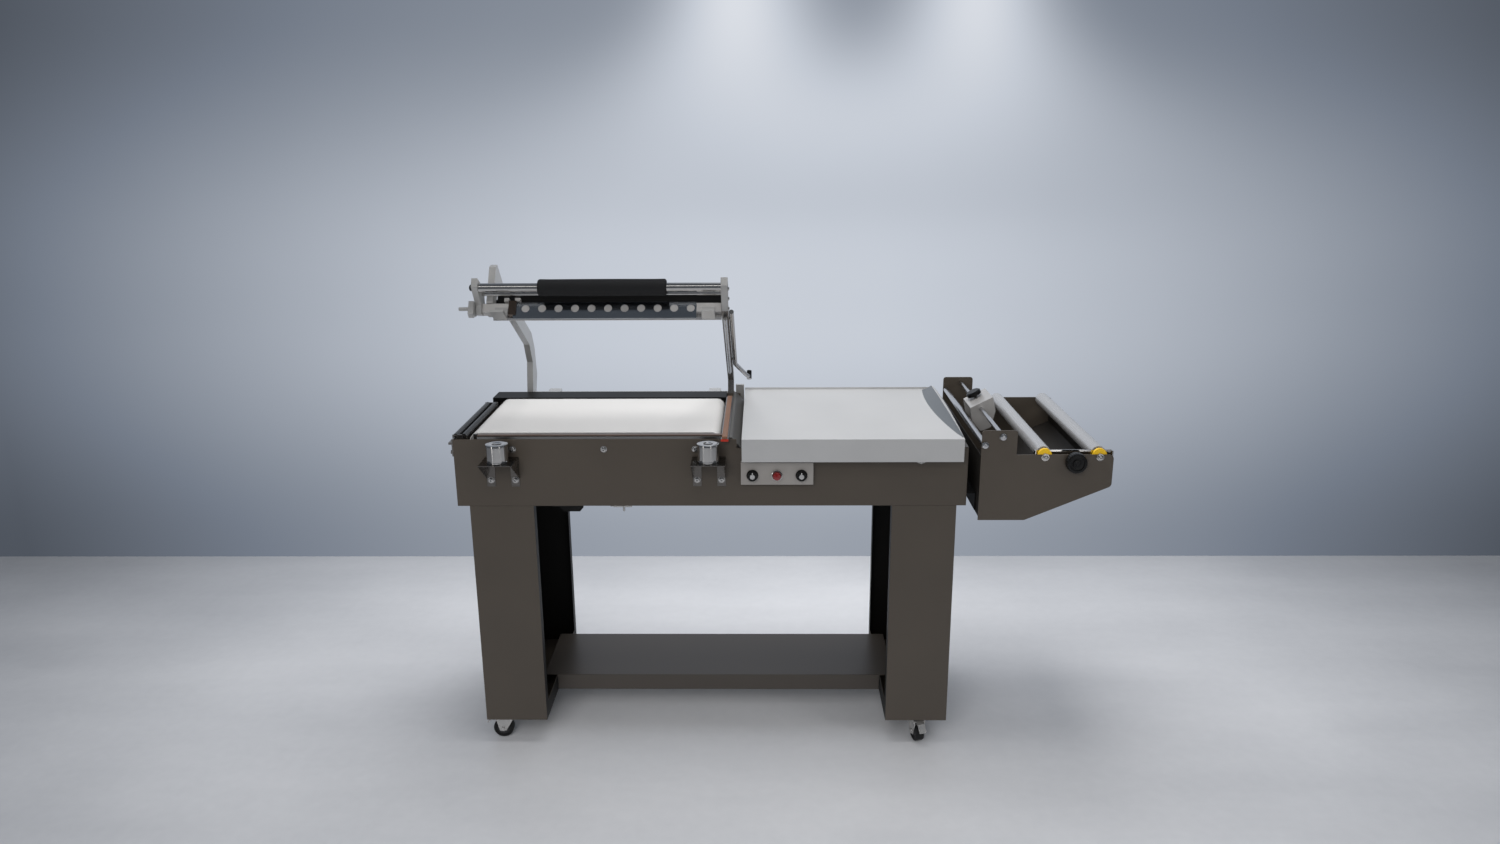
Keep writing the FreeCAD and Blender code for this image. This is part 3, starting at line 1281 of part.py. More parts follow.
def make_hinge_blocks():
    """The two pillow blocks on the back of the table."""
    pieces = []
    for start in ("left_x + hinge_left", "side_x - hinge_from_side"):
        outline = [("back_y", "hinge_z - 40"), ("back_y + 12", "hinge_z - 40"),
                   ("hinge_y + hinge_radius + 8", "hinge_z - 10"),
                   ("hinge_y + hinge_radius + 8", "hinge_z + 8"), ("hinge_y + 8", "hinge_z + hinge_radius + 8"),
                   ("hinge_y - 8", "hinge_z + hinge_radius + 8"), ("back_y", "hinge_z + 10")]
        block = plate("YZ", outline, start, "hinge_block",
                      [("hinge_y", "hinge_z", "hinge_radius + shaft_play")])
        pieces.append(block)
    start = "side_x + side_beam_width / 2 + 7"
    post = rectangle(start, "hinge_z - 40", f"{start} + post_width", "deck_z + post_rise")
    pieces.append(plate("XZ", post, "back_y", "12"))
    node(group(*pieces), "hinge_blocks")


def make_all():
    """Build every piece."""
    left_pin = "left_leg_x + caster_inset_left"
    right_pin = "right_leg_x + leg_width - caster_inset_right"
    make_leg("left_leg", "left_leg_x", 1, left_pin)
    make_leg("right_leg", "right_leg_x", -1, right_pin)
    make_shelf()
    front, rear = caster_rows()
    make_caster("front_left", left_pin, front, 180, True)
    make_caster("front_right", right_pin, front, -75, True)
    make_caster("rear_left", left_pin, rear, 120, False)
    make_caster("rear_right", right_pin, rear, 150, False)
    make_underside()
    make_shell()
    make_deck()
    make_rear_rail()
    make_seal_holders()
    make_seal_pads()
    make_bolts()
    make_magnets()
    make_conveyor()
    make_gearmotor()
    make_exit_rollers()
    make_controls()
    make_tray()
    make_unwind_plates()
    make_cradle()
    make_roller_supports()
    make_rollers()
    make_tension_knob()
    make_guides()
    make_perforator()
    make_arm()
    make_hinge_blocks()


def check():
    """Refuse to write anything while an object has failed or a shape is unsound."""
    doc.recompute()
    for obj in doc.Objects:
        if "Invalid" in obj.State or "Error" in obj.State:
            raise RuntimeError(f"{obj.Name} ({obj.Label}) failed: {obj.State}")
    for obj in nodes:
        if obj.Shape.isNull() or not obj.Shape.isValid() or not obj.Shape.Solids:
            raise RuntimeError(f"{obj.Label} has no sound shape")


def write():
    """Write one STEP file for each piece."""
    os.makedirs("parts", exist_ok=True)
    for obj in nodes:
        obj.Shape.exportStep(f"parts/{obj.Label}.step")


make_sheet()
make_all()
check()
write()
print(len(nodes), "pieces")
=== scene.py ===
"""The looks of an L-bar film sealer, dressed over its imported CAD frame.

Every piece is in metres in the row frame: +X runs from the belt to the film unwind, +Y from the
operator to the back, +Z up, with the floor at z = 0.
"""

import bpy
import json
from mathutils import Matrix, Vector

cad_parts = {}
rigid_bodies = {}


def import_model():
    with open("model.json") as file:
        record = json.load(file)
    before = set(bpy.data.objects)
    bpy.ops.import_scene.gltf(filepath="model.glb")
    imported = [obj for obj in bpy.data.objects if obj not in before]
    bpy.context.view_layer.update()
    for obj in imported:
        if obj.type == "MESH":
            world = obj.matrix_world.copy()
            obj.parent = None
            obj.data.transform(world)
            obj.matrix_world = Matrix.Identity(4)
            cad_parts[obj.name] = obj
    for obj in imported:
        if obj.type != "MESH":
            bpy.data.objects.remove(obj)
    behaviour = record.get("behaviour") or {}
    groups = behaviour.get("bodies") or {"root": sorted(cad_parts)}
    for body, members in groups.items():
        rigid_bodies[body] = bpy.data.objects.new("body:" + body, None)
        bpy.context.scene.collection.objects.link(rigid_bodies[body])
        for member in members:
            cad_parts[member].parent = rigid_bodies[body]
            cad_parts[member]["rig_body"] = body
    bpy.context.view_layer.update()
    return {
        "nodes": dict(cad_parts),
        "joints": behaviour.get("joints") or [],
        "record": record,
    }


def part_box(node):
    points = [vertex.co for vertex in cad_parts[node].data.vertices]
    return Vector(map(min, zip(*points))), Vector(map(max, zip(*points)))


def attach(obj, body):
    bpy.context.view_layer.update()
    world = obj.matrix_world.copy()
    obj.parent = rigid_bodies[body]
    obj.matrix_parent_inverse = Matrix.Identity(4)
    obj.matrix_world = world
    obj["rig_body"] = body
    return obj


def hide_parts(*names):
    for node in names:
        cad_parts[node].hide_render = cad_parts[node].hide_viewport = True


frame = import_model()

import json
import logging
import math
from dataclasses import dataclass, field
from enum import Enum
from typing import Callable, Optional, Sequence, Union

import bmesh
import bpy
import numpy as np
from mathutils import Matrix, Vector

LOG = logging.getLogger("sealer")
Colour = tuple[float, float, float]
Point = tuple[float, float, float]


class Axis(Enum):
    """A direction of the row frame, by its place in a vector."""

    X = 0
    Y = 1
    Z = 2


Number = Union["Value", float]


# ------------------------------------------------------------------------------- shading


class Value:
    """A node's output socket that Python arithmetic can extend with Math nodes."""

    def __init__(self, shader: "Shader", socket: bpy.types.NodeSocket) -> None:
        """Wrap one socket of one shader."""
        self.shader = shader
        self.socket = socket

    def _with(self, operation: str, other: Number, flip: bool = False) -> "Value":
        """Add one Math node on this value and another, the other first if flip is set.

        Args:
            operation: The Math node's operation.
            other: The second value.
            flip: Whether the second value goes first.

        Returns:
            The result as a wrapped value.
        """
        pair = (other, self) if flip else (self, other)
        node = self.shader.add("ShaderNodeMath", {"operation": operation}, {0: pair[0], 1: pair[1]})
        return Value(self.shader, node.outputs[0])

    def __add__(self, other: Number) -> "Value":
        """Sum."""
        return self._with("ADD", other)

    __radd__ = __add__

    def __sub__(self, other: Number) -> "Value":
        """Difference."""
        return self._with("SUBTRACT", other)

    def __rsub__(self, other: Number) -> "Value":
        """Difference, with this value second."""
        return self._with("SUBTRACT", other, flip=True)

    def __mul__(self, other: Number) -> "Value":
        """Product."""
        return self._with("MULTIPLY", other)

    __rmul__ = __mul__

    def __pow__(self, other: Number) -> "Value":
        """Power."""
        return self._with("POWER", other)

    def __truediv__(self, other: Number) -> "Value":
        """Quotient."""
        return self._with("DIVIDE", other)

    def wave(self) -> "Value":
        """Sine of this value."""
        return self._with("SINE", 0.0)

    def exp(self) -> "Value":
        """e to this value."""
        return self._with("EXPONENT", 0.0)

    def at_least(self, other: Number) -> "Value":
        """The larger of the two."""
        return self._with("MAXIMUM", other)

    def size(self) -> "Value":
        """This value without its sign."""
        return self._with("ABSOLUTE", 0.0)


class Shader:
    """One material's node tree with a Principled BSDF, read in object coordinates."""

    def __init__(self, name: str) -> None:
        """Start an empty material of that name.

        Args:
            name: The material's name.
        """
        self.material = bpy.data.materials.new(name)
        self.material.use_nodes = True
        self.tree = self.material.node_tree
        self.principled = self.tree.nodes["Principled BSDF"]
        self.coords = self.add("ShaderNodeTexCoord").outputs["Object"]

    def add(self, kind: str, settings: Optional[dict] = None,
            inputs: Optional[dict] = None) -> bpy.types.Node:
        """Add any node.

        Args:
            kind: the node's Blender type.
            settings: its properties, set before its sockets; "stops" fills a colour ramp.
            inputs: values or links by socket name or number.

        Returns:
            The new node.
        """
        node = self.tree.nodes.new(kind)
        for key, value in (settings or {}).items():
            if key == "stops":
                ramp = node.color_ramp
                for spot, (place, colour) in enumerate(value):
                    stop = ramp.elements[spot] if spot < 2 else ramp.elements.new(place)
                    stop.position, stop.color = place, (*colour, 1.0)
            else:
                setattr(node, key, value)
        for key, value in (inputs or {}).items():
            self.feed(node.inputs[key], value)
        return node

    def feed(self, socket: bpy.types.NodeSocket, value: object) -> None:
        """Set a socket to a number, a colour, a vector, a wrapped value or another socket.

        Args:
            socket: The socket to set.
            value: What it gets.
        """
        if isinstance(value, Value):
            self.tree.links.new(value.socket, socket)
        elif isinstance(value, bpy.types.NodeSocket):
            self.tree.links.new(value, socket)
        elif isinstance(value, (tuple, list)) and len(value) == 3 and socket.type == "RGBA":
            socket.default_value = (*value, 1.0)
        else:
            socket.default_value = value

    def stretched(self, scale: Point) -> bpy.types.NodeSocket:
        """Object coordinates times a scale for each axis."""
        return self.add("ShaderNodeMapping", {"vector_type": "POINT"},
                        {"Vector": self.coords, "Scale": scale}).outputs[0]

    def noise(self, scale: float, detail: float = 2.0, stretch: Optional[Point] = None) -> Value:
        """Cloudy noise with that many lumps to the metre.

        Args:
            scale: Lumps to the metre.
            detail: Octaves of finer noise.
            stretch: Factors on the three axes, if any.

        Returns:
            The noise's value.
        """
        vector = self.stretched(stretch) if stretch else self.coords
        node = self.add("ShaderNodeTexNoise", None, {"Vector": vector, "Scale": scale, "Detail": detail})
        return Value(self, node.outputs["Fac"])

    def cells(self, scale: float) -> Value:
        """Distance to the nearest of scattered points, with that many cells to the metre."""
        node = self.add("ShaderNodeTexVoronoi", None, {"Vector": self.coords, "Scale": scale})
        return Value(self, node.outputs["Distance"])

    def part(self, axis: Axis) -> Value:
        """One object coordinate."""
        node = self.add("ShaderNodeSeparateXYZ", None, {0: self.coords})
        return Value(self, node.outputs[axis.value])

    def smooth(self, value: Value, start: float, end: float, low: float, high: float) -> Value:
        """A smooth step from low, before start, to high, after end.

        Args:
            value: What the step runs over.
            start: Where it starts.
            end: Where it ends.
            low: The level before start.
            high: The level after end.

        Returns:
            The stepped value.
        """
        node = self.add("ShaderNodeMapRange", {"interpolation_type": "SMOOTHSTEP"},
                        {"Value": value, "From Min": start, "From Max": end, "To Min": low, "To Max": high})
        return Value(self, node.outputs[0])

    def tint(self, factor: Value, low: Colour, high: Colour) -> bpy.types.NodeSocket:
        """A colour that runs from low to high with the factor.

        Args:
            factor: 0 for low and 1 for high.
            low: The colour at 0.
            high: The colour at 1.

        Returns:
            The colour's socket.
        """
        node = self.add("ShaderNodeMix", {"data_type": "RGBA"})
        self.feed(node.inputs[0], factor)
        self.feed(node.inputs[6], low)
        self.feed(node.inputs[7], high)
        return node.outputs[2]

    def bump(self, height: Value, distance: float, strength: float = 1.0) -> None:
        """Raise the surface by a height, in metres times distance.

        Args:
            height: The pattern of heights.
            distance: Metres for a height of 1.
            strength: How much of the bump shows.
        """
        node = self.add("ShaderNodeBump", None,
                        {"Strength": strength, "Distance": distance, "Height": height})
        self.tree.links.new(node.outputs[0], self.principled.inputs["Normal"])

    def set(self, **sockets: object) -> "Shader":
        """Set or link the Principled BSDF's sockets, with _ for a space in the name.

        Args:
            sockets: Values or links by socket name.

        Returns:
            The shader itself.
        """
        for key, value in sockets.items():
            self.feed(self.principled.inputs[key.replace("_", " ")], value)
        return self


def shade(colour: Colour, factor: float) -> Colour:
    """A colour made lighter or darker by a factor."""
    return tuple(min(1.0, c * factor) for c in colour)


def placed(name: str, data: bpy.types.ID) -> bpy.types.Object:
    """A new object in the scene that shows the data.

    Args:
        name: The object's name.
        data: What it shows.

    Returns:
        The new object.
    """
    piece = bpy.data.objects.new(name, data)
    bpy.context.scene.collection.objects.link(piece)
    return piece


@dataclass(frozen=True)
class Finish:
    """A named surface finish with one main colour."""

    name: str
    colour: Colour

    def make(self) -> bpy.types.Material:
        """Build the material.

        Returns:
            The finished material.
        """
        s = Shader(self.name)
        self.draw(s)
        return s.material

    def draw(self, s: Shader) -> None:
        """Set the shader's sockets; each kind of finish has its own way."""
        raise NotImplementedError

    def tones(self, s: Shader, factor: Value, low: float, high: float) -> bpy.types.NodeSocket:
        """The main colour, times low where the factor is nought and times high where it is one."""
        return s.tint(factor, shade(self.colour, low), shade(self.colour, high))


@dataclass(frozen=True)
class PowderCoat(Finish):
    """Baked paint with fine orange peel and a faint uneven sheen."""

    rough: float = 0.42
    peel: float = 900.0
    depth: float = 0.00003
    gloss: float = 0.4

    def draw(self, s: Shader) -> None:
        """Set the shader's sockets.

        Args:
            s: The shader to set.
        """
        peel = s.noise(self.peel, 2.0)
        cloud = s.noise(5.0, 4.0)
        fleck = s.noise(2600.0, 0.0)
        tone = cloud * 0.7 + fleck * 0.3
        s.set(Base_Color=self.tones(s, tone, 0.86, 1.16))
        s.set(Roughness=cloud * 0.10 + peel * 0.06 + (self.rough - 0.08), Specular_IOR_Level=self.gloss)
        s.bump(peel, self.depth)


@dataclass(frozen=True)
class BrushedMetal(Finish):
    """Bare metal with fine lines along one axis."""

    along: Axis = Axis.X
    rough: float = 0.28
    lines: float = 1400.0
    metal: float = 1.0

    def draw(self, s: Shader) -> None:
        """Set the shader's sockets.

        Args:
            s: The shader to set.
        """
        stretch = [1.0, 1.0, 1.0]
        stretch[self.along.value] = 0.012
        hair = s.noise(self.lines, 3.0, tuple(stretch))
        smear = s.noise(9.0, 4.0)
        s.set(Base_Color=self.tones(s, hair * 0.6 + smear * 0.4, 0.82, 1.12))
        s.set(Metallic=self.metal, Roughness=hair * 0.16 + smear * 0.12 + (self.rough - 0.14))
        s.bump(hair, 0.00002)


@dataclass(frozen=True)
class BrightMetal(Finish):
    """Plated or polished metal with faint smears and dust."""

    rough: float = 0.12

    def draw(self, s: Shader) -> None:
        """Set the shader's sockets.

        Args:
            s: The shader to set.
        """
        smear = s.noise(45.0, 4.0)
        grain = s.noise(1500.0, 1.0)
        s.set(Base_Color=self.tones(s, smear, 0.88, 1.08))
        s.set(Metallic=1.0, Roughness=smear * 0.14 + grain * 0.04 + max(0.02, self.rough - 0.07))
        s.bump(grain, 0.000006)


@dataclass(frozen=True)
class CastMetal(Finish):
    """Sand-cast or blasted metal with a soft grain."""

    rough: float = 0.4
    metal: float = 1.0

    def draw(self, s: Shader) -> None:
        """Set the shader's sockets.

        Args:
            s: The shader to set.
        """
        grain = s.noise(1100.0, 3.0)
        stain = s.noise(14.0, 5.0)
        s.set(Base_Color=self.tones(s, stain * 0.8 + grain * 0.2, 0.78, 1.15))
        s.set(Metallic=self.metal, Roughness=stain * 0.16 + grain * 0.10 + (self.rough - 0.13))
        s.bump(grain, 0.00005)


@dataclass(frozen=True)
class Moulded(Finish):
    """Moulded plastic or rubber with a fine spark grain."""

    rough: float = 0.45
    grain: float = 1800.0
    depth: float = 0.00004
    gloss: float = 0.3

    def draw(self, s: Shader) -> None:
        """Set the shader's sockets.

        Args:
            s: The shader to set.
        """
        grain = s.noise(self.grain, 2.0)
        cloud = s.noise(30.0, 3.0)
        s.set(Base_Color=self.tones(s, cloud, 0.82, 1.2))
        s.set(Roughness=grain * 0.08 + cloud * 0.10 + (self.rough - 0.09), Specular_IOR_Level=self.gloss)
        s.bump(grain, self.depth)


@dataclass(frozen=True)
class Foam(Finish):
    """Closed-cell grip foam: small pits under a soft sheen."""

    def draw(self, s: Shader) -> None:
        """Set the shader's sockets.

        Args:
            s: The shader to set.
        """
        pits = s.cells(650.0)
        fuzz = s.noise(2500.0, 2.0)
        s.set(Base_Color=self.tones(s, pits, 0.7, 1.6))
        s.set(Roughness=0.66 + pits * 0.2)
        s.bump(pits * 0.7 + fuzz * 0.3, 0.00018)


@dataclass(frozen=True)
class BeltCloth(Finish):
    """Coated conveyor cloth: a plain weave seen through its pale coat, with rubbed marks."""

    thread: float = 0.0016

    def draw(self, s: Shader) -> None:
        """Set the shader's sockets; height is the product of two sine waves, one thread apart.

        Args:
            s: The shader to set.
        """
        turn = 2.0 * math.pi / self.thread
        weave = (s.part(Axis.X) * turn).wave() * (s.part(Axis.Y) * turn).wave()
        rub = s.noise(7.0, 5.0, (0.35, 1.0, 1.0))
        fleck = s.noise(420.0, 2.0)
        tone = rub * 0.62 + fleck * 0.2 + weave * 0.06 + 0.06
        s.set(Base_Color=self.tones(s, tone, 0.90, 1.05))
        s.set(Roughness=0.55 + rub * 0.16)
        s.bump(weave * 0.5 + fleck * 0.5, 0.00008)


@dataclass(frozen=True)
class Lens(Finish):
    """Coloured translucent plastic over a lamp that is out."""

    def draw(self, s: Shader) -> None:
        """Set the shader's sockets.

        Args:
            s: The shader to set.
        """
        ribs = s.cells(700.0)
        s.set(Base_Color=self.tones(s, ribs, 0.7, 1.3))
        s.set(Roughness=0.14, Coat_Weight=0.6, Coat_Roughness=0.05, Specular_IOR_Level=0.6)
        s.bump(ribs, 0.0002)


class Finishes:
    """The machine's finishes, each built once when it is first asked for."""

    def __init__(self) -> None:
        """List the finishes by name."""
        listed: list[Finish] = [
            PowderCoat("graphite paint", (0.077, 0.064, 0.051), 0.38),
            PowderCoat("black paint", (0.005, 0.005, 0.005), 0.4, gloss=0.08),
            PowderCoat("tray paint", (0.43, 0.432, 0.434), 0.36, 700.0, 0.00002),
            PowderCoat("deck paint", (0.085, 0.083, 0.080), 0.45, gloss=0.2),
            PowderCoat("shelf paint", (0.075, 0.065, 0.056), 0.34),
            # near-black paint that stands in for deep shade: painted shade inside the legs and under the
            # table
            PowderCoat("painted shade", (0.0045, 0.004, 0.0035), 0.6),
            PowderCoat("trough paint", (0.020, 0.018, 0.016), 0.5),
            BrushedMetal("brushed steel", (0.50, 0.49, 0.48)),
            CastMetal("panel steel", (0.40, 0.375, 0.35), 0.36, 0.35),
            BrushedMetal("channel metal", (0.34, 0.33, 0.32), Axis.X, 0.3),
            BrushedMetal("dark plate", (0.20, 0.185, 0.17), Axis.X, 0.26),
            BrushedMetal("guide steel", (0.62, 0.62, 0.63), Axis.Y, 0.22),
            BrightMetal("hook steel", (0.42, 0.41, 0.40), 0.2),
            BrightMetal("bracket metal", (0.30, 0.28, 0.26), 0.3),
            BrightMetal("bronze", (0.11, 0.085, 0.070), 0.32),
            BrushedMetal("shroud steel", (0.40, 0.43, 0.46), Axis.X, 0.13),
            BrushedMetal("roller tube", (0.50, 0.50, 0.505), Axis.Y, 0.26, 900.0, 0.45),
            BrightMetal("chrome", (0.60, 0.585, 0.565), 0.08),
            CastMetal("zinc", (0.60, 0.59, 0.575), 0.22, 0.7),
            CastMetal("dark steel", (0.20, 0.19, 0.18), 0.28, 0.7),
            CastMetal("cast arm", (0.46, 0.455, 0.445), 0.34, 0.55),
            CastMetal("aluminium bar", (0.54, 0.525, 0.51), 0.32, 0.5),
            CastMetal("motor casting", (0.05, 0.05, 0.05), 0.5, 0.0),
            Moulded("seal pad", (0.20, 0.105, 0.065), 0.42),
            Moulded("front pad", (0.085, 0.055, 0.040), 0.3),
            Moulded("black knob", (0.005, 0.005, 0.005), 0.3),
            Moulded("black roller", (0.012, 0.012, 0.012), 0.28),
            # darker grey that stands in for the shade on the plow's hollow side
            PowderCoat("plow painted shade", (0.10, 0.11, 0.12), 0.34),
            Moulded("red cap", (0.42, 0.035, 0.02), 0.4),
            Moulded("caster tyre", (0.010, 0.010, 0.010), 0.5),
            Moulded("yellow plastic", (0.85, 0.52, 0.02), 0.35),
            Moulded("dial grey", (0.035, 0.035, 0.037), 0.4),
            Moulded("white mark", (0.75, 0.75, 0.74), 0.5),
            Foam("grip foam", (0.008, 0.008, 0.0085)),
            BeltCloth("belt cloth", (0.66, 0.65, 0.635)),
            Lens("red lens", (0.20, 0.006, 0.006)),
        ]
        self.listed = {finish.name: finish for finish in listed}
        self.made: dict[str, bpy.types.Material] = {}

    def get(self, name: str) -> bpy.types.Material:
        """The material of that name.

        Args:
            name: The finish's name.

        Returns:
            Its material.
        """
        if name not in self.made:
            self.made[name] = self.listed[name].make()
        return self.made[name]


FINISHES = Finishes()


# ------------------------------------------------------------------------------- shapes

SEAM = 1e-6  # metres within which two points are one
EDGE = 0.0008  # metres of rounding on a usual sheet edge
SMOOTH = 35.0  # degrees below which an edge is shaded round
BEVEL_FROM = 40.0  # degrees above which an edge gets its rounding
FRONT = (0.0, -1.0, 0.0)
BACK = (0.0, 1.0, 0.0)
UP = (0.0, 0.0, 1.0)
LEFT = (-1.0, 0.0, 0.0)
RIGHT = (1.0, 0.0, 0.0)


def ring_faces(rows: int, columns: int) -> np.ndarray:
    """Quads that join each ring of points to the next.

    Args:
        rows: how many rings there are.
        columns: how many points a ring has; its last point joins its first.

    Returns:
        An array of four point numbers for each quad.
    """
    rr, cc = np.meshgrid(np.arange(rows - 1), np.arange(columns), indexing="ij")
    r1, c1 = rr + 1, (cc + 1) % columns
    quads = np.stack([rr * columns + cc, rr * columns + c1, r1 * columns + c1, r1 * columns + cc], -1)
    return quads.reshape(-1, 4)


def basis(direction: Sequence[float]) -> np.ndarray:
    """Three unit vectors as rows, the third along the direction.

    Args:
        direction: Any vector but zero.

    Returns:
        The three vectors as rows.
    """
    third = np.array(direction, float)
    third /= np.linalg.norm(third)
    spare = np.array([1.0, 0.0, 0.0]) if abs(third[2]) > 0.9 else np.array([0.0, 0.0, 1.0])
    first = np.cross(spare, third)
    first /= np.linalg.norm(first)
    return np.stack([first, np.cross(third, first), third])


class Mesh:
    """Surfaces gathered as arrays, then made one object."""

    def __init__(self) -> None:
        """Start with nothing."""
        self.points: list[np.ndarray] = []
        self.faces: list[list[int]] = []
        self.count = 0

    def rings(self, grid: np.ndarray, caps: bool = False) -> "Mesh":
        """Add rings of points joined by quads; caps closes the first and last with flat faces.

        Args:
            grid: The points, ring by ring.
            caps: Whether flat faces close the first and last ring.

        Returns:
            The mesh itself.
        """
        rows, columns = grid.shape[:2]
        self.faces += (ring_faces(rows, columns) + self.count).tolist()
        if caps:
            first = np.arange(columns) + self.count
            last = first + (rows - 1) * columns
            self.faces.append(first[::-1].tolist())
            self.faces.append(last.tolist())
        self.points.append(grid.reshape(-1, 3))
        self.count += rows * columns
        return self

    def revolve(self, profile: Sequence[tuple[float, float]], centre: Sequence[float],
                direction: Sequence[float], steps: int = 40,
                radius_at: Optional[Callable[[np.ndarray, np.ndarray], np.ndarray]] = None) -> "Mesh":
        """Turn a profile of (radius, distance) about a line through the centre.

        Each point is centre + r (cos a first + sin a second) + distance * third, where first, second
        and third are the line's basis.

        Args:
            profile: radius and distance of each ring.
            centre: a point of the line.
            direction: the line's direction, and that of the distances.
            steps: how many points a ring has.
            radius_at: a factor for the radius from (ring number, angle), for lobes and hexagons.

        Returns:
            This mesh.
        """
        r, h = np.array(profile, float).T
        a = np.linspace(0.0, 2.0 * np.pi, steps, endpoint=False)
        radius = np.repeat(r[:, None], steps, 1)
        if radius_at is not None:
            rings, angles = np.meshgrid(np.arange(len(r)), a, indexing="ij")
            radius = radius * radius_at(rings, angles)
        first, second, third = basis(direction)
        grid = (np.array(centre, float) + (radius * np.cos(a))[..., None] * first
                + (radius * np.sin(a))[..., None] * second + h[:, None, None] * third)
        return self.rings(grid)

    def prism(self, outline: Sequence[tuple[float, float]], axis: Axis, low: float, high: float) -> "Mesh":
        """Carry a flat outline straight along an axis, from low to high, and close both ends.

        Args:
            outline: Points of the flat shape, in order.
            axis: The axis it is carried along.
            low: Where it starts.
            high: Where it ends.

        Returns:
            The mesh itself.
        """
        flat = np.array(outline, float)
        grid = np.empty((2, len(flat), 3))
        first, second = [(1, 2), (0, 2), (0, 1)][axis.value]
        grid[..., first], grid[..., second] = flat[:, 0], flat[:, 1]
        grid[0, :, axis.value], grid[1, :, axis.value] = low, high
        return self.rings(grid, caps=True)

    def moved(self, change: Callable[[np.ndarray], np.ndarray]) -> "Mesh":
        """Put every point through a function of arrays."""
        self.points = [change(block) for block in self.points]
        return self

    def build(self, name: str, finish: str, body: str, smooth: float = SMOOTH, bevel: float = 0.0,
              stands_for: str = "") -> bpy.types.Object:
        """Make the object, give it a finish and let it ride on a body.

        Args:
            name: the piece's name.
            finish: the finish's name.
            body: the CAD body it moves with.
            smooth: the angle, in degrees, below which edges are shaded round.
            bevel: the width of a rounding on its sharp edges, in metres.
            stands_for: the CAD node that it replaces, if any.

        Returns:
            The finished object.
        """
        mesh = bpy.data.meshes.new(name)
        mesh.from_pydata(np.concatenate(self.points).tolist(), [], self.faces)
        work = bmesh.new()
        work.from_mesh(mesh)
        bmesh.ops.remove_doubles(work, verts=work.verts, dist=SEAM)
        bmesh.ops.dissolve_degenerate(work, edges=work.edges, dist=SEAM / 10)
        bmesh.ops.recalc_face_normals(work, faces=work.faces)
        work.to_mesh(mesh)
        work.free()
        piece = dress(placed(name, mesh), finish, body, smooth, bevel)
        if stands_for:
            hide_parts(stands_for)
        return piece


def dress(piece: bpy.types.Object, finish: str, body: str, smooth: float = SMOOTH,
          bevel: float = 0.0) -> bpy.types.Object:
    """Shade, bevel and finish a mesh object and let it ride on its body.

    Args:
        piece: The mesh object.
        finish: The finish's name.
        body: The body it rides on.
        smooth: Angle in degrees up to which an edge looks smooth.
        bevel: Width of the bevel in metres, 0 for none.

    Returns:
        The same object.
    """
    piece.data.materials.clear()
    piece.data.materials.append(FINISHES.get(finish))
    piece.data.shade_smooth()
    piece.data.set_sharp_from_angle(angle=math.radians(smooth))
    if bevel:
        edge = piece.modifiers.new("edge rounding", "BEVEL")
        edge.width, edge.segments, edge.limit_method = bevel, 2, "ANGLE"
        edge.angle_limit = math.radians(BEVEL_FROM)
    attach(piece, body)
    LOG.info("%s rides on %s", piece.name, body)
    return piece


@dataclass(frozen=True)
class Region:
    """The faces of a piece that get a finish of their own."""

    finish: str
    holds: Callable[[Vector, Vector], bool]


def skin(node: str, finish: str, bevel: float = EDGE, smooth: float = SMOOTH,
         regions: Sequence[Region] = (), flat: float = 0.6) -> bpy.types.Object:
    """Replace a CAD node by a copy with its flat faces joined and its edges rounded.

    Args:
        node: the CAD node's name.
        finish: the finish's name.
        bevel: the width of the rounding, in metres; 0 leaves the edges sharp.
        smooth: the angle, in degrees, below which edges are shaded round.
        regions: finishes for the faces whose (centre, normal) each region holds.
        flat: the angle, in degrees, below which neighbouring faces are joined into one.

    Returns:
        The new object.
    """
    source = frame["nodes"][node]
    mesh = source.data.copy()
    mesh.name = f"{node}_skin"
    work = bmesh.new()
    work.from_mesh(mesh)
    bmesh.ops.remove_doubles(work, verts=work.verts, dist=SEAM)
    bmesh.ops.dissolve_limit(work, angle_limit=math.radians(flat), verts=work.verts, edges=work.edges)
    for face in work.faces:
        centre, normal = face.calc_center_median(), face.normal.copy()
        for spot, region in enumerate(regions, start=1):
            if region.holds(centre, normal):
                face.material_index = spot
    work.to_mesh(mesh)
    work.free()
    for name in [a.name for a in mesh.attributes if a.name.startswith("custom_normal")]:
        mesh.attributes.remove(mesh.attributes[name])
    spots = [polygon.material_index for polygon in mesh.polygons]
    piece = dress(placed(f"{node}_skin", mesh), finish, source["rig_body"], smooth, bevel)
    for region in regions:
        piece.data.materials.append(FINISHES.get(region.finish))
    piece.data.polygons.foreach_set("material_index", spots)
    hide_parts(node)
    return piece


def finish_nodes(finish: str, *names: str) -> None:
    """Give CAD nodes a finish, keeping their shapes.

    Args:
        finish: The finish's name.
        names: The nodes' names.
    """
    for name in names:
        node = frame["nodes"][name]
        node.data.materials.clear()
        node.data.materials.append(FINISHES.get(finish))
        LOG.info("%s keeps its shape", name)


@dataclass(frozen=True)
class Block:
    """The box round one solid of a CAD node."""

    low: Vector
    high: Vector

    @property
    def centre(self) -> Vector:
        """The box's middle."""
        return (self.low + self.high) / 2

    @property
    def size(self) -> Vector:
        """The box's length along each axis."""
        return self.high - self.low


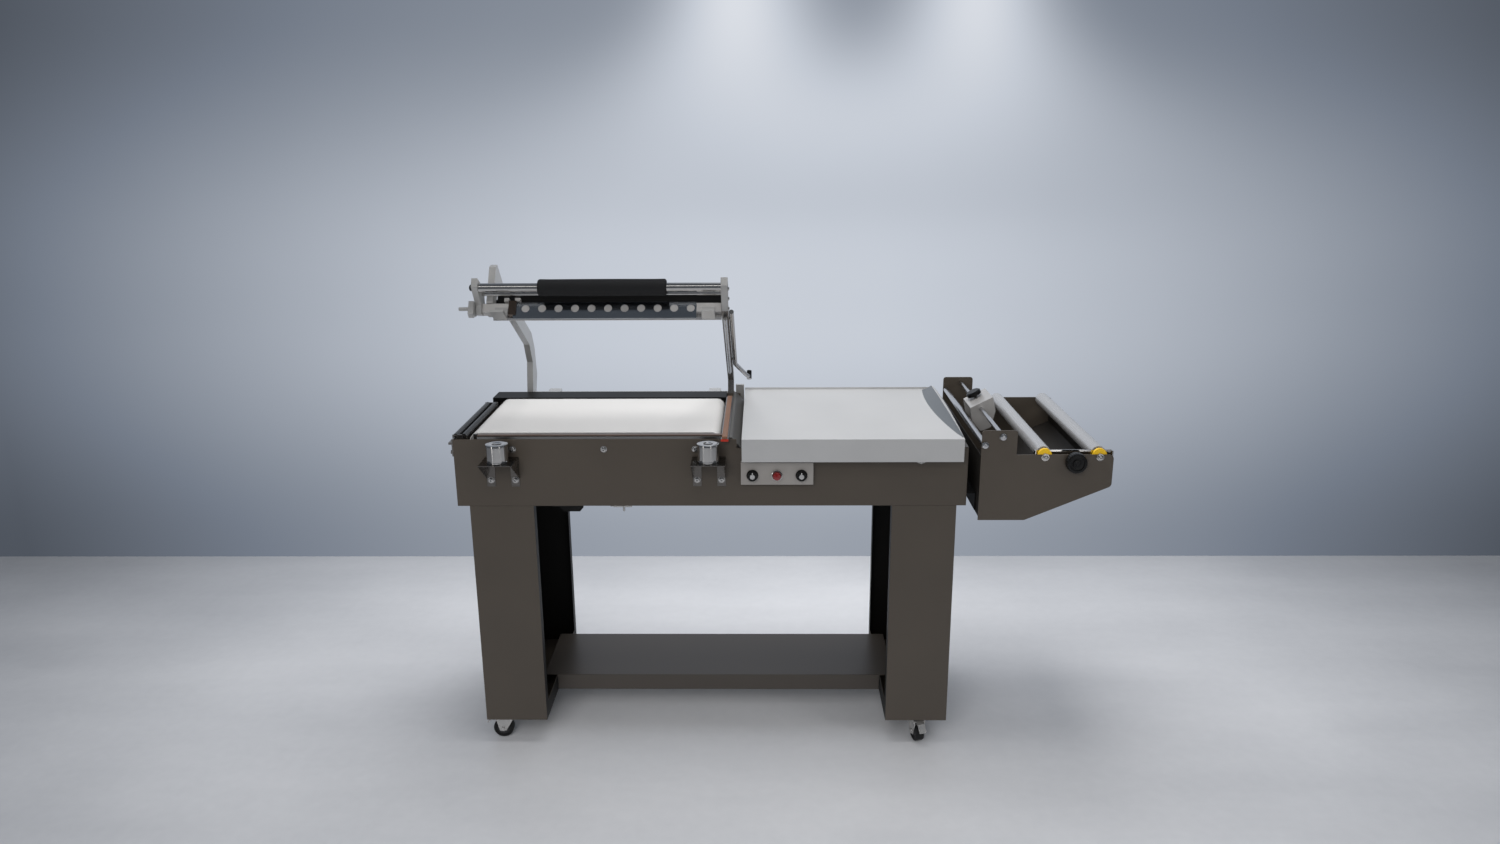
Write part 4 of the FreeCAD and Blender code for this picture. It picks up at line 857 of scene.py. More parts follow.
def solids_of(node: str) -> list[Block]:
    """The boxes round a CAD node's separate solids, from left to right.

    Args:
        node: The node's name.

    Returns:
        One box for each solid, in order.
    """
    work = bmesh.new()
    work.from_mesh(frame["nodes"][node].data)
    bmesh.ops.remove_doubles(work, verts=work.verts, dist=SEAM)
    left, found = set(work.verts), []
    while left:
        group, queue = set(), [left.pop()]
        while queue:
            vertex = queue.pop()
            group.add(vertex)
            for edge in vertex.link_edges:
                other = edge.other_vert(vertex)
                if other in left:
                    left.remove(other)
                    queue.append(other)
        points = np.array([v.co for v in group])
        found.append(Block(Vector(points.min(0)), Vector(points.max(0))))
    work.free()
    return sorted(found, key=lambda block: (round(block.centre.x, 3), block.centre.y))


def whole(node: str) -> Block:
    """The box round a whole CAD node."""
    return Block(*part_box(node))


def joint(name: str) -> dict:
    """A joint of the frame by its name."""
    return next(j for j in frame["joints"] if j["name"] == name)


# ------------------------------------------------------------------------------- hardware


class Drive(Enum):
    """How a screw head is turned."""

    PLAIN = "plain"
    SOCKET = "socket"
    HEX = "hex"


def hexagon(angle: np.ndarray) -> np.ndarray:
    """A hexagon's radius over its corner radius: cos(30) / cos(a mod 60 - 30), a in degrees."""
    sector = np.pi / 3
    return math.cos(sector / 2) / np.cos(np.mod(angle, sector) - sector / 2)


@dataclass(frozen=True)
class Screw:
    """A screw head, with or without a washer."""

    radius: float = 0.006
    tall: float = 0.004
    drive: Drive = Drive.SOCKET
    washer: float = 1.45
    steps: int = 36

    def add(self, mesh: Mesh, foot: Sequence[float], facing: Sequence[float]) -> None:
        """Add the head, its foot on a surface and its crown along facing.

        Args:
            mesh: The mesh that gets the head.
            foot: Its place on the surface.
            facing: The way its crown points.
        """
        r, t = self.radius, self.tall
        base = 0.0
        if self.washer:
            w = r * self.washer
            disc = [(r * 0.6, 0), (w, 0), (w, t * 0.16), (w - t * 0.08, t * 0.24), (r * 0.6, t * 0.24)]
            mesh.revolve(disc, foot, facing, 32)
            base = t * 0.2
        if self.drive is Drive.HEX:
            rings = [(0.0, t), (r * 0.72, t), (r * 0.94, t * 0.88), (r, t * 0.7), (r, base), (0.0, base)]
            mesh.revolve(rings, foot, facing, self.steps,
                         lambda ring, a: np.where((ring > 1) & (ring < 5), hexagon(a) * 1.1, 1.0))
            return
        dome = [(r * math.sin(a), base + (t - base) * (0.35 + 0.65 * math.cos(a)))
                for a in np.linspace(0.42, math.pi / 2, 7)]
        if self.drive is Drive.SOCKET:
            socket = [(0.0, 0.45 * t), (r * 0.34, 0.45 * t), (r * 0.36, t * 0.93)]
            rings = [*socket, *dome, (r, base), (0.0, base)]
            mesh.revolve(rings, foot, facing, self.steps,
                         lambda ring, a: np.where((ring > 0) & (ring < 3), hexagon(a), 1.0))
            return
        mesh.revolve([(0.0, t), *dome, (r, base), (0.0, base)], foot, facing, self.steps)


class ShutArm:
    """Turns places drawn about the hinge axis, with the arm shut, to where they are on the open arm."""

    def __init__(self) -> None:
        """Read the hinge's place and its travel from the frame."""
        hinge = joint("arm_hinge")
        self.pivot = np.array(hinge["pos_m"], float)
        self.angle = math.radians(hinge["range_deg"][1])

    def turned(self, points: np.ndarray, angle: float) -> np.ndarray:
        """Points turned about the hinge: y cos + z sin, and z cos - y sin.

        Args:
            points: Points as rows.
            angle: How far to turn.

        Returns:
            The turned points.
        """
        x, y, z = np.moveaxis(np.asarray(points, float) - self.pivot, -1, 0)
        c, s = math.cos(angle), math.sin(angle)
        return np.stack([x, y * c + z * s, z * c - y * s], -1) + self.pivot

    def open(self, points: np.ndarray) -> np.ndarray:
        """Where points of the shut arm lie with the arm open."""
        return self.turned(points, self.angle)

    def shut(self, points: np.ndarray) -> np.ndarray:
        """Where points of the open arm lie with the arm shut."""
        return self.turned(points, -self.angle)

    def block(self, node: str) -> Block:
        """The box round a node of the arm, with the arm shut."""
        points = self.shut(np.array([v.co for v in frame["nodes"][node].data.vertices]))
        return Block(Vector(points.min(0)), Vector(points.max(0)))


# ------------------------------------------------------------------------------- stage


@dataclass
class Lamp:
    """One soft lamp aimed at a point; a mirrored one also shows in bright metal."""

    name: str
    place: Point
    target: Point
    size: float
    power: float
    mirrored: bool = False
    tall: float = 0.0
    tint: Colour = (1.0, 0.99, 0.98)

    def build(self) -> None:
        """Hang the lamp."""
        data = bpy.data.lights.new(self.name, "AREA")
        data.energy, data.size, data.color = self.power, self.size, self.tint
        if self.tall:
            data.shape, data.size_y = "RECTANGLE", self.tall
        lamp = placed(self.name, data)
        lamp.visible_glossy = self.mirrored
        away = Vector(self.place) - Vector(self.target)
        lamp.matrix_world = Matrix.Translation(self.place) @ away.to_track_quat("Z", "Y").to_matrix().to_4x4()


@dataclass
class Studio:
    """Floor, wall, lights and camera."""

    eye: Point = (-0.0367, -2.886, 1.668)
    pitch: float = 15.448
    yaw: float = -0.803
    roll: float = -0.346
    lens: float = 25.32
    wall_at: float = 1.103
    # x places of the two painted pools of light on the wall
    pools: tuple[float, float] = (-0.13, 0.72)
    lamps: tuple[Lamp, ...] = (
        Lamp("top lamp", (0.0, 0.2, 3.0), (0.0, 0.25, 0.0), 1.8, 54.0),
        Lamp("front lamp", (-0.9, -3.9, 2.5), (0.0, 0.0, 0.5), 2.2, 62.0),
        Lamp("side lamp", (3.2, -2.4, 2.0), (0.0, 0.0, 0.8), 1.2, 14.0),
        Lamp("upper strip", (0.0, -2.2, 3.2), (-0.3, 0.0, 1.2), 4.0, 9.0, True, 0.35),
        Lamp("left strip", (-2.6, -2.6, 1.1), (-0.4, 0.0, 0.9), 0.30, 4.0, True, 2.2),
        Lamp("right strip", (1.5, -3.0, 1.1), (0.2, 0.0, 0.9), 0.22, 3.0, True, 2.2),
    )

    def camera(self) -> None:
        """Aim the camera: forward, right and up follow from its three angles."""
        p, y, r = (math.radians(v) for v in (self.pitch, self.yaw, self.roll))
        forward = Vector((math.sin(y) * math.cos(p), math.cos(y) * math.cos(p), -math.sin(p)))
        right = Vector((math.cos(y), -math.sin(y), 0.0))
        up = right.cross(forward)
        turned = right * math.cos(r) + up * math.sin(r)
        up = up * math.cos(r) - right * math.sin(r)
        data = bpy.data.cameras.new("camera")
        data.lens, data.sensor_width = self.lens, 36.0
        camera = placed("camera", data)
        camera.matrix_world = Matrix((
            (turned.x, up.x, -forward.x, self.eye[0]), (turned.y, up.y, -forward.y, self.eye[1]),
            (turned.z, up.z, -forward.z, self.eye[2]), (0.0, 0.0, 0.0, 1.0)))
        bpy.context.scene.camera = camera

    def wall(self) -> bpy.types.Material:
        """The wall glows with painted light: it falls off to both sides, to the top and to the floor, under
        two painted pools of lamp light.

        The level is 0.62 e^-(|x|/2.6)^2.2 times a rise from the floor and a fall to the top, plus a
        bell e^-((x - x0)/w)^2 for each pool, w narrowing and the bell brightening with height.

        Returns:
            The wall's material.
        """
        s = Shader("studio wall")
        x, z = s.part(Axis.X), s.part(Axis.Z)
        side = (((x + 0.05) * (1 / 2.62)).size() ** 2.2 * -1.0).exp().at_least(0.26)
        rise = s.smooth(z, 0.0, 0.95, 0.57, 1.0)
        fall = s.smooth(z, 1.15, 2.15, 1.0, 0.46)
        cloud = s.noise(1.3, 5.0) * 0.07 + 0.965
        level = side * rise * fall * cloud * 0.62
        wide = s.smooth(z, 1.3, 2.2, 0.75, 0.23)
        glow = s.smooth(z, 1.35, 2.15, 0.0, 0.46)
        # painted light: the pools and the falloff are emission, not light from the lamps
        for spot in self.pools:
            level = level + (((x - spot) / wide) ** 2.0 * -1.0).exp() * glow
        stops = [(0.0, (0.0, 0.0, 0.0)), (0.2, (0.171, 0.198, 0.246)), (0.6, (0.556, 0.595, 0.662)),
                 (1.0, (0.96, 0.97, 1.0))]
        ramp = s.add("ShaderNodeValToRGB", {"stops": stops}, {"Fac": level})
        s.set(Base_Color=(0.0, 0.0, 0.0), Roughness=0.9, Specular_IOR_Level=0.0)
        s.set(Emission_Color=ramp.outputs[0], Emission_Strength=1.0)
        self.one_sided(s)
        return s.material

    def one_sided(self, s: Shader) -> None:
        """Let the wall be seen through from behind, so that it hides nothing from the back.

        Args:
            s: The wall's shader.
        """
        side = s.add("ShaderNodeNewGeometry")
        clear = s.add("ShaderNodeBsdfTransparent")
        mix = s.add("ShaderNodeMixShader", None, {"Fac": side.outputs["Backfacing"]})
        s.tree.links.new(s.principled.outputs[0], mix.inputs[1])
        s.tree.links.new(clear.outputs[0], mix.inputs[2])
        output = next(n for n in s.tree.nodes if n.type == "OUTPUT_MATERIAL")
        s.tree.links.new(mix.outputs[0], output.inputs["Surface"])

    def floor(self) -> bpy.types.Material:
        """Pale polished concrete: clouds, long trowel smears and fine speckle, with a painted pool of light
        that makes it paler in the middle.

        Returns:
            The floor's material.
        """
        s = Shader("studio floor")
        cloud, smear, fine = s.noise(1.4, 6.0), s.noise(2.6, 5.0, (0.35, 1.4, 1.0)), s.noise(30.0, 5.0)
        x, y = s.part(Axis.X), s.part(Axis.Y)
        # painted light: a pool of brightness centred just behind the machine, painted into the floor's colour
        middle = (((x * (1 / 2.4)).size() ** 2.0 + ((y - 0.35) * (1 / 1.15)).size() ** 2.0) * -1.0).exp()
        tone = cloud * 0.34 + smear * 0.40 + fine * 0.12 + middle * 0.75 - 0.24
        s.set(Base_Color=s.tint(tone, (0.42, 0.435, 0.465), (0.92, 0.925, 0.945)))
        s.set(Roughness=0.28 + cloud * 0.34)
        s.bump(fine * 0.5 + smear * 0.5, 0.0012)
        return s.material

    def plane(self, name: str, corners: Sequence[Point], material: bpy.types.Material) -> None:
        """Add one flat stage piece.

        Args:
            name: Its name.
            corners: Its four corners, in order.
            material: Its material.
        """
        mesh = bpy.data.meshes.new(name)
        mesh.from_pydata(list(corners), [], [(0, 1, 2, 3)])
        mesh.materials.append(material)
        placed(name, mesh)

    def world(self) -> None:
        """A dim room, so that bright metal has something dark to show."""
        world = bpy.data.worlds.new("world")
        world.use_nodes = True
        world.node_tree.nodes["Background"].inputs[0].default_value = (0.80, 0.88, 1.0, 1.0)
        world.node_tree.nodes["Background"].inputs[1].default_value = 0.13
        bpy.context.scene.world = world

    def build(self) -> None:
        """Set the stage."""
        self.camera()
        y = self.wall_at
        self.plane("studio_floor", [(-9, -7, 0), (9, -7, 0), (9, 9, 0), (-9, 9, 0)], self.floor())
        self.plane("studio_wall", [(-9, y, 0), (9, y, 0), (9, y, 6), (-9, y, 6)], self.wall())
        self.world()
        for lamp in self.lamps:
            lamp.build()
        bpy.context.scene.view_settings.view_transform = "Standard"


# ------------------------------------------------------------------------------- machine


@dataclass
class Stand:
    """Legs, shelf and casters."""

    edge: float = 0.0012
    tyre: float = 0.7
    tyre_round: float = 0.0035

    def legs(self) -> None:
        """Dress the legs: paint outside, near-black painted shade on the faces that look into the tower."""
        for node, inner in (("left_leg", 1), ("right_leg", -1)):
            middle = whole(node).centre
            def inward(centre: Vector, normal: Vector, middle: Vector = middle, inner: int = inner) -> bool:
                """Whether a face looks into the tower."""
                away = centre - middle
                return (abs(normal.z) < 0.5 and normal.xy.dot(away.xy) < -0.0005) or normal.x * inner > 0.5
            # the faces that look into the tower get painted shade: near-black paint in place of the shadow
            # inside the legs
            skin(node, "graphite paint", self.edge, regions=[Region("painted shade", inward)])
        skin("lower_shelf", "shelf paint", self.edge)

    def brackets(self) -> None:
        """Dress the pieces under the table: a flange in near-black painted shade and a small plated one."""
        edge = solids_of("underside_brackets")[0].high.x + 0.002
        # the left flange under the table is painted near-black, as painted shade
        skin("underside_brackets", "zinc", 0.0005,
             regions=[Region("painted shade", lambda centre, normal: centre.x < edge)])

    def caster(self, spot: str) -> None:
        """Dress one caster: plated fork, and a wheel with a tyre, a rim groove and a hub.

        Args:
            spot: The corner, as the names of its nodes begin.
        """
        skin(f"{spot}_caster_fork", "zinc", 0.0006)
        node = f"{spot}_caster_wheel"
        spin = joint(f"{spot}_wheel_spin")
        line, centre = np.array(spin["axis"], float), whole(node).centre
        points = np.array([v.co for v in frame["nodes"][node].data.vertices]) - np.array(centre)
        along = points @ line
        radius = np.linalg.norm(points - along[:, None] * line, axis=1).max()
        half, rim = along.max(), radius * self.tyre
        soft = self.tyre_round
        round_off = [(radius - soft * (1 - math.cos(a)), (half - soft) + soft * math.sin(a))
                     for a in np.linspace(0, math.pi / 2, 5)]
        tread = [(r, -h) for r, h in round_off[::-1]] + round_off
        shoulder = [(rim, -half + 0.002), (rim + 0.001, -half)]
        far = [(rim + 0.001, half), (rim, half - 0.002), (rim, -half + 0.002)]
        Mesh().revolve([*shoulder, *tread, *far], centre, line, 56).build(
            f"{spot}_tyre", "caster tyre", f"{spot}_wheel")
        flank = [(0.0045, -half + 0.001), (0.009, -half + 0.001), (0.010, -half + 0.004),
                 (rim - 0.003, -half + 0.005), (rim + 0.0002, -half + 0.0022)]
        hub = [*flank, *[(r, -h) for r, h in flank[::-1]], flank[0]]
        Mesh().revolve(hub, centre, line, 48).build(
            f"{spot}_hub", "dial grey", f"{spot}_wheel", stands_for=node)
        pins = Mesh()
        for sign in (-1.0, 1.0):
            foot = np.array(centre) + line * sign * (half + 0.0035)
            Screw(0.0062, 0.004, Drive.HEX, 1.2).add(pins, foot, line * sign)
        pins.build(f"{spot}_axle_nuts", "zinc", f"{spot}_caster")

    def build(self) -> None:
        """Dress the stand."""
        self.legs()
        self.brackets()
        for spot in ("front_left", "front_right", "rear_left", "rear_right"):
            self.caster(spot)
        for spot in ("front_left", "front_right"):
            skin(f"{spot}_brake_pedal", "zinc", 0.0006)


@dataclass
class Table:
    """Table body, deck, rail, pads, bolts, magnets and hinge blocks."""

    edge: float = 0.0012
    small_edge: float = 0.0006
    rivets: int = 4
    cap_tall: float = 0.0045
    cap_long: float = 0.02

    def bolts(self) -> None:
        """Replace the round-headed bolts of the front by turned heads on washers."""
        mesh = Mesh()
        for block in solids_of("front_bolts"):
            foot = (block.centre.x, block.high.y, block.centre.z)
            Screw(block.size.x / 2 * 0.8, block.size.y, Drive.SOCKET, 1.25).add(mesh, foot, FRONT)
        mesh.build("front_bolt_heads", "chrome", "table", stands_for="front_bolts")

    def magnets(self) -> None:
        """Replace the hold-down magnets by turned cups: a lipped top, a plain side and a foot ring."""
        mesh = Mesh()
        for block in solids_of("holddown_magnets"):
            r, low, high = block.size.x / 2, block.low.z, block.high.z
            foot = (block.centre.x, block.low.y + r, low)
            tall = high - low
            rings = [(0, tall - 0.0008), (r * 0.30, tall - 0.0008), (r * 0.34, tall), (r - 0.0022, tall),
                     (r - 0.0005, tall - 0.0007), (r, tall - 0.0025), (r, tall - 0.006),
                     (r - 0.0012, tall - 0.007), (r - 0.0012, 0.006), (r - 0.0002, 0.005),
                     (r - 0.0002, 0.0004), (0, 0.0004)]
            mesh.revolve(rings, foot, UP, 64)
        mesh.build("magnet_cups", "chrome", "table", stands_for="holddown_magnets")

    def rail(self) -> None:
        """Dress the rear rail in near-black paint, painted shade for its shadowed face, and set a row of
        small bright rivets along its front.
        """
        # near-black paint here is painted shade for the rail's shadowed face
        skin("rear_rail", "black paint")
        rail = whole("rear_rail")
        mesh = Mesh()
        for x in np.linspace(rail.low.x + 0.09, rail.high.x - 0.06, self.rivets):
            Screw(0.0032, 0.0018, Drive.PLAIN, 0.0).add(mesh, (x, rail.low.y, rail.high.z - 0.007), FRONT)
        mesh.build("rear_rail_rivets", "white mark", "table")

    def pads(self) -> None:
        """Dress the seal pads and their channels, with the red cap at the side pad's front end."""
        channel = whole("seal_holders")
        pads = whole("seal_pads")
        def capped(centre: Vector, normal: Vector) -> bool:
            """Whether a face is on the cap at the side channel's front end."""
            return centre.z > channel.high.z - self.cap_tall and centre.y < pads.low.y + self.cap_long
        skin("seal_holders", "channel metal", self.small_edge, regions=[Region("red cap", capped)])
        skin("seal_pads", "seal pad", 0.0008,
             regions=[Region("front pad", lambda centre, normal: centre.x < pads.high.x - 0.02)])

    def build(self) -> None:
        """Dress the table."""
        skin("table_shell", "graphite paint", self.edge)
        skin("deck_plate", "deck paint")
        self.rail()
        self.pads()
        self.bolts()
        self.magnets()
        skin("magnet_brackets", "dark plate", self.small_edge)
        skin("hinge_blocks", "zinc")
        skin("exit_brackets", "bracket metal", self.small_edge)


@dataclass
class Conveyor:
    """Belt, bed, drums and exit rollers."""

    def build(self) -> None:
        """Dress the conveyor."""
        finish_nodes("belt cloth", "conveyor_belt")
        finish_nodes("brushed steel", "conveyor_bed")
        finish_nodes("roller tube", "drive_drum", "idle_drum")
        finish_nodes("black roller", "inner_exit_roller", "outer_exit_roller")
        finish_nodes("motor casting", "gearmotor")


@dataclass
class Controls:
    """Control plate, dials and push button."""

    flutes: int = 20
    flute_deep: float = 0.07
    dial_deep: float = 0.016

    def dial(self, node: str) -> None:
        """Replace a dial: fluted grip on a skirt, a bright cap and a white pointer line.

        Args:
            node: The dial's CAD node.
        """
        box = whole(node)
        x, z = box.centre.x, box.centre.z
        r = box.size.x / 2
        front, foot = box.low.y, box.high.y
        deep = self.dial_deep
        rings = [(0, 0), (r - 0.001, 0), (r, 0.001), (r, 0.003), (r * 0.86, 0.005), (r * 0.80, deep - 0.002),
                 (r * 0.75, deep), (r * 0.5, deep), (r * 0.47, deep - 0.0008), (0, deep - 0.0008)]
        base = np.array((x, front + deep, z))
        body = next(b for b, nodes in frame["record"]["behaviour"]["bodies"].items() if node in nodes)
        def fluted(ring: np.ndarray, a: np.ndarray) -> np.ndarray:
            """The radius factor: one less a wave round the grip's two rings."""
            return np.where((ring >= 4) & (ring <= 5), 1 - self.flute_deep * np.cos(self.flutes * a), 1.0)
        grip = Mesh().revolve(rings, base, FRONT, self.flutes * 6, fluted)
        grip.build(f"{node}_grip", "black knob", body, stands_for=node)
        cap = [(0, deep - 0.0006), (r * 0.44, deep - 0.0006), (r * 0.42, deep + 0.0002), (0, deep + 0.0004)]
        Mesh().revolve(cap, base, FRONT, 40).build(f"{node}_cap", "zinc", body)
        line = [(x - 0.0009, z + r * 0.46), (x + 0.0009, z + r * 0.46), (x + 0.0009, z + r * 0.72),
                (x - 0.0009, z + r * 0.72)]
        Mesh().prism(line, Axis.Y, base[1] - deep - 0.0004, base[1] - deep + 0.001).build(
            f"{node}_pointer", "white mark", body)
        shaft = Mesh().revolve([(0, -0.0005), (0.003, -0.0005), (0.003, foot - base[1]), (0, foot - base[1])],
                               base, BACK, 20)
        shaft.build(f"{node}_shaft", "zinc", body)

    def button(self) -> None:
        """Replace the button by a ribbed red lens, and set a bright bezel round it."""
        box = whole("stop_button")
        body = joint("stop_button_press")["child"]
        r = box.size.x / 2
        centre = (box.centre.x, box.high.y, box.centre.z)
        deep = box.size.y
        dome = [(r * math.sin(a), deep - 0.004 + 0.004 * math.cos(a)) for a in np.linspace(0, math.pi / 2, 8)]
        stem = [(r, deep - 0.012), (r * 0.70, deep - 0.0125), (r * 0.70, 0.0), (0, 0.0)]
        lens = Mesh().revolve([*dome, *stem], centre, FRONT, 48)
        lens.build("stop_button_lens", "red lens", body, stands_for="stop_button")
        panel = whole("control_panel")
        out = r + 0.0045
        ring = [(r + 0.0006, 0.0), (out, 0.0), (out, 0.002), (out - 0.001, 0.004), (r + 0.0016, 0.005),
                (r + 0.0006, 0.0042), (r + 0.0006, 0.0)]
        Mesh().revolve(ring, (box.centre.x, panel.low.y + 0.003, box.centre.z), FRONT, 48).build(
            "stop_button_bezel", "chrome", "table")

    def wing_nut(self) -> None:
        """The small wing nut under the tray's apron, right of the panel."""
        table, tray = whole("table_shell"), whole("product_tray")
        x, z, y = tray.high.x - 0.112, tray.low.z - 0.012, table.low.y
        mesh = Mesh()
        mesh.revolve([(0, 0), (0.005, 0), (0.0045, 0.006), (0.003, 0.008), (0, 0.008)], (x, y, z), FRONT, 24)
        for sign in (-1, 1):
            wing = [(x + sign * out, z + rise) for out, rise in (
                (0.003, -0.003), (0.010, -0.001), (0.013, 0.005), (0.009, 0.006), (0.003, 0.002))]
            mesh.prism(wing, Axis.Y, y - 0.0065, y - 0.004)
        mesh.build("table_wing_nut", "zinc", "table", bevel=0.0004)

    def build(self) -> None:
        """Dress the controls."""
        skin("control_panel", "panel steel", 0.001)
        for node in ("left_dial", "right_dial"):
            self.dial(node)
        self.button()
        self.wing_nut()


@dataclass
class Tray:
    """Product tray with its film plow."""

    plow_wide: float = 0.055
    plow_tall: float = 0.0175

    def build(self) -> None:
        """Dress the tray."""
        tray = whole("product_tray")
        def hollow(centre: Vector, normal: Vector) -> bool:
            """Whether a face is on the plow's hollow side, which gets painted shade."""
            return (centre.x > tray.high.x - self.plow_wide and normal.x < -0.12
                    and centre.z > tray.high.z - self.plow_tall)
        # the plow's hollow side gets a darker grey as painted shade
        skin("product_tray", "tray paint", 0.0006, smooth=30.0, flat=0.05,
             regions=[Region("plow painted shade", hollow)])


@dataclass
class Unwind:
    """Film unwind."""

    lobes: int = 28
    lobe_deep: float = 0.022
    knob_deep: float = 0.024

    def knob(self) -> None:
        """Replace the tension knob: a ribbed grip, a ring groove and a raised boss."""
        box = whole("tension_knob")
        r = box.size.x / 2
        tall = self.knob_deep
        base = (box.centre.x, box.low.y + tall, box.centre.z)
        stem = box.high.y - base[1]
        rings = [(0, 0), (r * 0.92, 0), (r * 0.97, 0.002), (r, 0.004), (r, tall - 0.004),
                 (r * 0.96, tall - 0.001), (r * 0.88, tall), (r * 0.70, tall), (r * 0.66, tall - 0.003),
                 (r * 0.42, tall - 0.0035), (r * 0.38, tall - 0.0008), (r * 0.22, tall - 0.0004),
                 (r * 0.18, tall - 0.0016), (0, tall - 0.0018)]
        body = joint("tension_knob_turn")["child"]
        def lobed(ring: np.ndarray, a: np.ndarray) -> np.ndarray:
            """The radius factor: one less a raised wave round the grip's rings."""
            return np.where((ring >= 1) & (ring <= 5), 1 - self.lobe_deep * (1 + np.cos(self.lobes * a)), 1.0)
        grip = Mesh().revolve(rings, base, FRONT, self.lobes * 6, lobed)
        grip.build("tension_knob_grip", "black knob", body, stands_for="tension_knob")
        Mesh().revolve([(0, 0), (0.004, 0), (0.004, stem), (0, stem)], base, BACK, 20).build(
            "tension_knob_stem", "zinc", body)

    def ends(self) -> None:
        """Set bright socket screws where the bars and roller shafts come through the front plate."""
        plate = whole("unwind_front_plate")
        mesh = Mesh()
        for node in ("left_film_roller", "right_film_roller"):
            shaft = whole(node).centre
            Screw(0.0078, 0.007, Drive.SOCKET, 1.3).add(mesh, (shaft.x, plate.low.y, shaft.z - 0.004), FRONT)
        mesh.build("roller_shaft_screws", "chrome", "table")
        mesh = Mesh()
        for block in solids_of("film_guide_bars"):
            Screw(0.0072, 0.006, Drive.SOCKET, 1.35).add(
                mesh, (block.centre.x, block.low.y + 0.006, block.centre.z), FRONT)
        mesh.build("guide_bar_screws", "chrome", "table")

    def build(self) -> None:
        """Dress the unwind."""
        for node in ("unwind_front_plate", "unwind_back_plate"):
            skin(node, "graphite paint")
        skin("cradle_trough", "trough paint")
        skin("unwind_bracket", "black paint")
        finish_nodes("roller tube", "left_film_roller", "right_film_roller")
        front = whole("unwind_front_plate").high.y + 0.05
        skin("roller_bearings", "yellow plastic", 0.0005,
             regions=[Region("black knob", lambda centre, normal: centre.y > front)])
        skin("roller_end_strip", "chrome", 0.0006)
        self.knob()
        self.ends()
        finish_nodes("black knob", "perforator_knob")
        finish_nodes("guide steel", "film_guide_bars")
        skin("perforator_bracket", "aluminium bar", 0.0006)
        finish_nodes("zinc", "perforator_wheel")


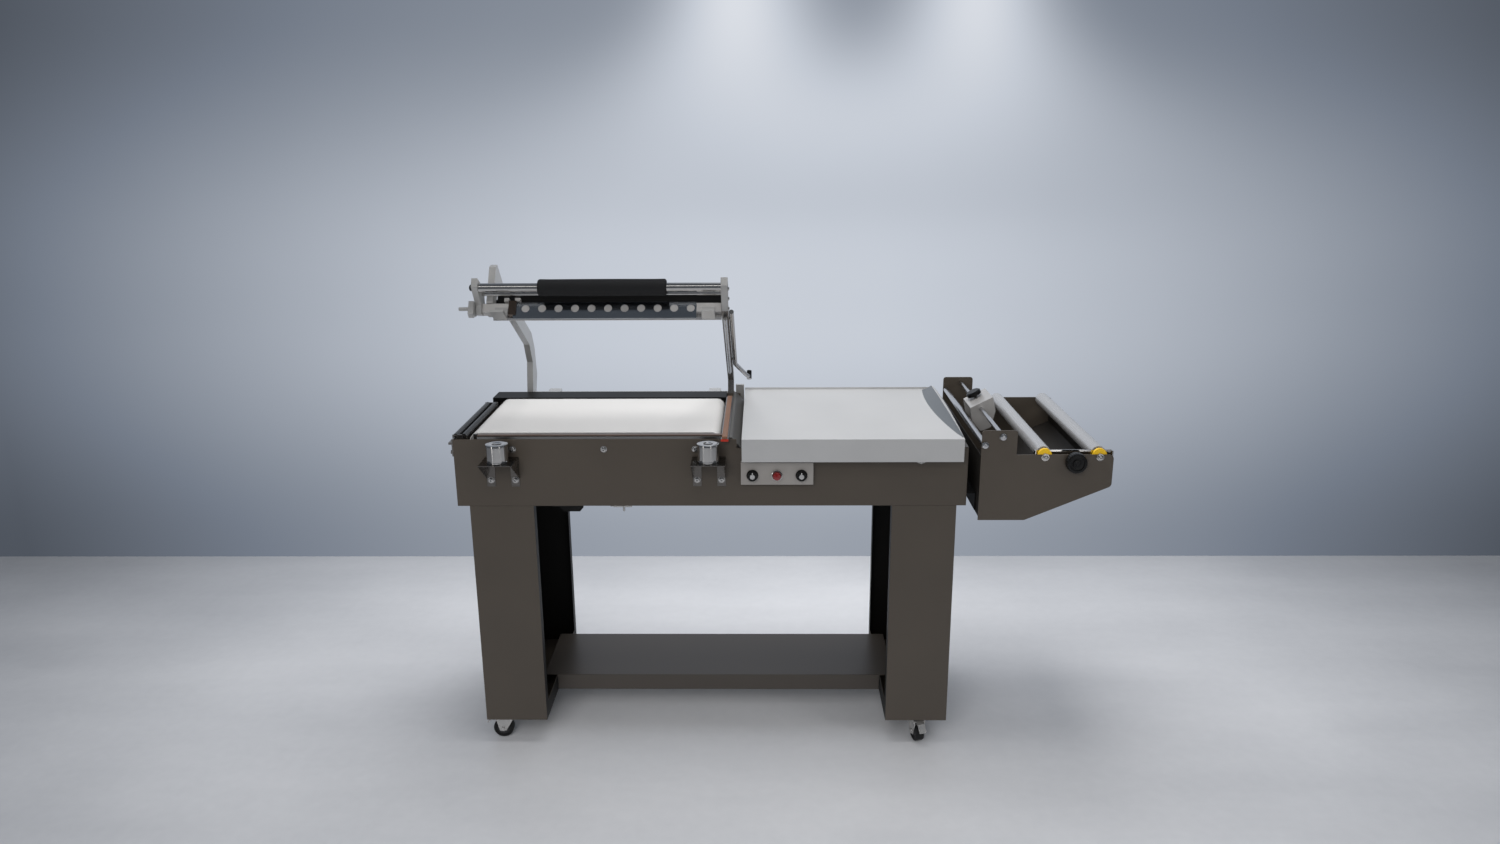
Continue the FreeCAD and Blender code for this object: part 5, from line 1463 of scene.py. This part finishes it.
@dataclass
class Arm:
    """Sealing arm."""

    hinge: ShutArm = field(default_factory=ShutArm)
    rail_deep: float = 0.0108
    guard_rise: float = 0.028
    tip_long: float = 0.0155

    def add(self, mesh: Mesh, name: str, finish: str, bevel: float = 0.0) -> None:
        """Build a mesh that was drawn with the arm shut, opened out with the arm."""
        mesh.moved(self.hinge.open).build(name, finish, "sealing_arm", bevel=bevel)

    def beams(self) -> None:
        """Dress the beams: pale front beam under its black rail, dark side beam."""
        beam = self.hinge.block("front_seal_beam")
        shroud = self.hinge.block("seal_shroud")
        def railed(centre: Vector, normal: Vector) -> bool:
            """Whether a face belongs to the black rail."""
            return self.hinge.shut(centre)[1] > beam.high.y - self.rail_deep
        skin("front_seal_beam", "aluminium bar", 0.001, regions=[Region("black paint", railed)])
        skin("side_seal_beam", "dark steel", 0.001)
        skin("seal_blades", "brushed steel", 0.0005)
        skin("seal_shroud", "shroud steel", 0.0005)
        low, high = beam.low, beam.high
        x = shroud.low.x
        front, top = shroud.low.y, shroud.high.z
        mesh = Mesh()
        outline = [(front - 0.004, top - 0.036), (front + 0.012, top - 0.036), (front + 0.012, top + 0.001),
                   (high.y - 0.012, top + 0.001), (high.y - 0.012, top + 0.004), (front - 0.004, top + 0.004)]
        mesh.prism(outline, Axis.X, x - 0.012, x + 0.008)
        self.add(mesh, "shroud_end_bracket", "bronze", EDGE)
        mesh = Mesh()
        for start, wide in ((x - 0.026, 0.012), (x + 0.002, 0.014)):
            tab = [(front + 0.002, top + 0.004), (front + 0.016, top + 0.004), (front + 0.016, top + 0.016),
                   (front + 0.002, top + 0.014)]
            mesh.prism(tab, Axis.X, start, start + wide)
        self.add(mesh, "shroud_end_tabs", "aluminium bar", 0.0006)
        mesh = Mesh()
        guard = [(high.y - 0.0035, high.z - 0.004), (high.y - 0.0008, high.z - 0.004),
                 (high.y - 0.0008, high.z + self.guard_rise), (high.y - 0.0035, high.z + self.guard_rise)]
        mesh.prism(guard, Axis.X, low.x + 0.030, high.x - 0.002)
        self.add(mesh, "rear_guard_strip", "black paint", 0.0006)

    def grip(self) -> None:
        """Replace the foam grip by a sleeve with soft rounded ends, a little fuller in the middle."""
        box = whole("foam_grip")
        r, length = box.size.z / 2, box.size.x
        bore, soft = 0.012, 0.006
        u = np.linspace(0.0, math.pi / 2, 7)
        start = [(r - soft + soft * math.sin(a), soft - soft * math.cos(a)) for a in u]
        middle = [(r - 0.0006 + 0.0006 * math.sin(math.pi * k / 12), soft + (length - 2 * soft) * k / 12)
                  for k in range(1, 12)]
        end = [(radius, length - h) for radius, h in start[::-1]]
        rings = [(bore, 0.0), *start, *middle, *end, (bore, length), (bore, 0.0)]
        sleeve = Mesh().revolve(rings, (box.low.x, box.centre.y, box.centre.z), RIGHT, 72)
        piece = sleeve.build("foam_grip_sleeve", "grip foam", "sealing_arm", smooth=60.0,
                             stands_for="foam_grip")

    def bolts(self) -> None:
        """Set the bolt heads on the arm's end pieces."""
        ends = self.hinge.block("arm_end_brackets")
        grip = self.hinge.block("foam_grip")
        axis_y, axis_z = grip.centre.y, grip.centre.z
        mesh = Mesh()
        Screw(0.0075, 0.008, Drive.HEX, 1.3).add(mesh, (ends.low.x + 0.042, axis_y, axis_z), LEFT)
        self.add(mesh, "lift_bar_nut", "black knob")
        mesh = Mesh()
        for step in range(3):
            Screw(0.0045, 0.004, Drive.SOCKET, 1.3).add(
                mesh, (ends.high.x, axis_y + 0.010 + step * 0.018, axis_z - step * 0.020), RIGHT)
        self.add(mesh, "end_plate_screws", "chrome")

    def build(self) -> None:
        """Dress the arm."""
        skin("left_arch_arm", "cast arm", 0.0015)
        self.beams()
        self.grip()
        self.bolts()
        skin("arm_end_brackets", "cast arm", 0.001)
        skin("magnet_keepers", "cast arm", 0.0006)
        prong = self.hinge.block("hook_bar")
        def tipped(centre: Vector, normal: Vector) -> bool:
            """Whether a face is on the hook's rubber tip."""
            place = self.hinge.shut(centre)
            return place[0] > prong.high.x - self.tip_long and place[2] > prong.low.z + 0.009
        skin("hook_bar", "hook steel", 0.0004, smooth=45.0, regions=[Region("black knob", tipped)])
        finish_nodes("chrome", "handle_rods")
        finish_nodes("zinc", "hinge_shaft")


def main() -> None:
    """Build the stage and every sub-assembly, and log each one as it is done."""
    logging.basicConfig(level=logging.INFO)
    for part in (Studio(), Stand(), Table(), Conveyor(), Controls(), Tray(), Unwind(), Arm()):
        part.build()
        LOG.info("%s done", type(part).__name__)


if __name__ == "__main__":
    main()
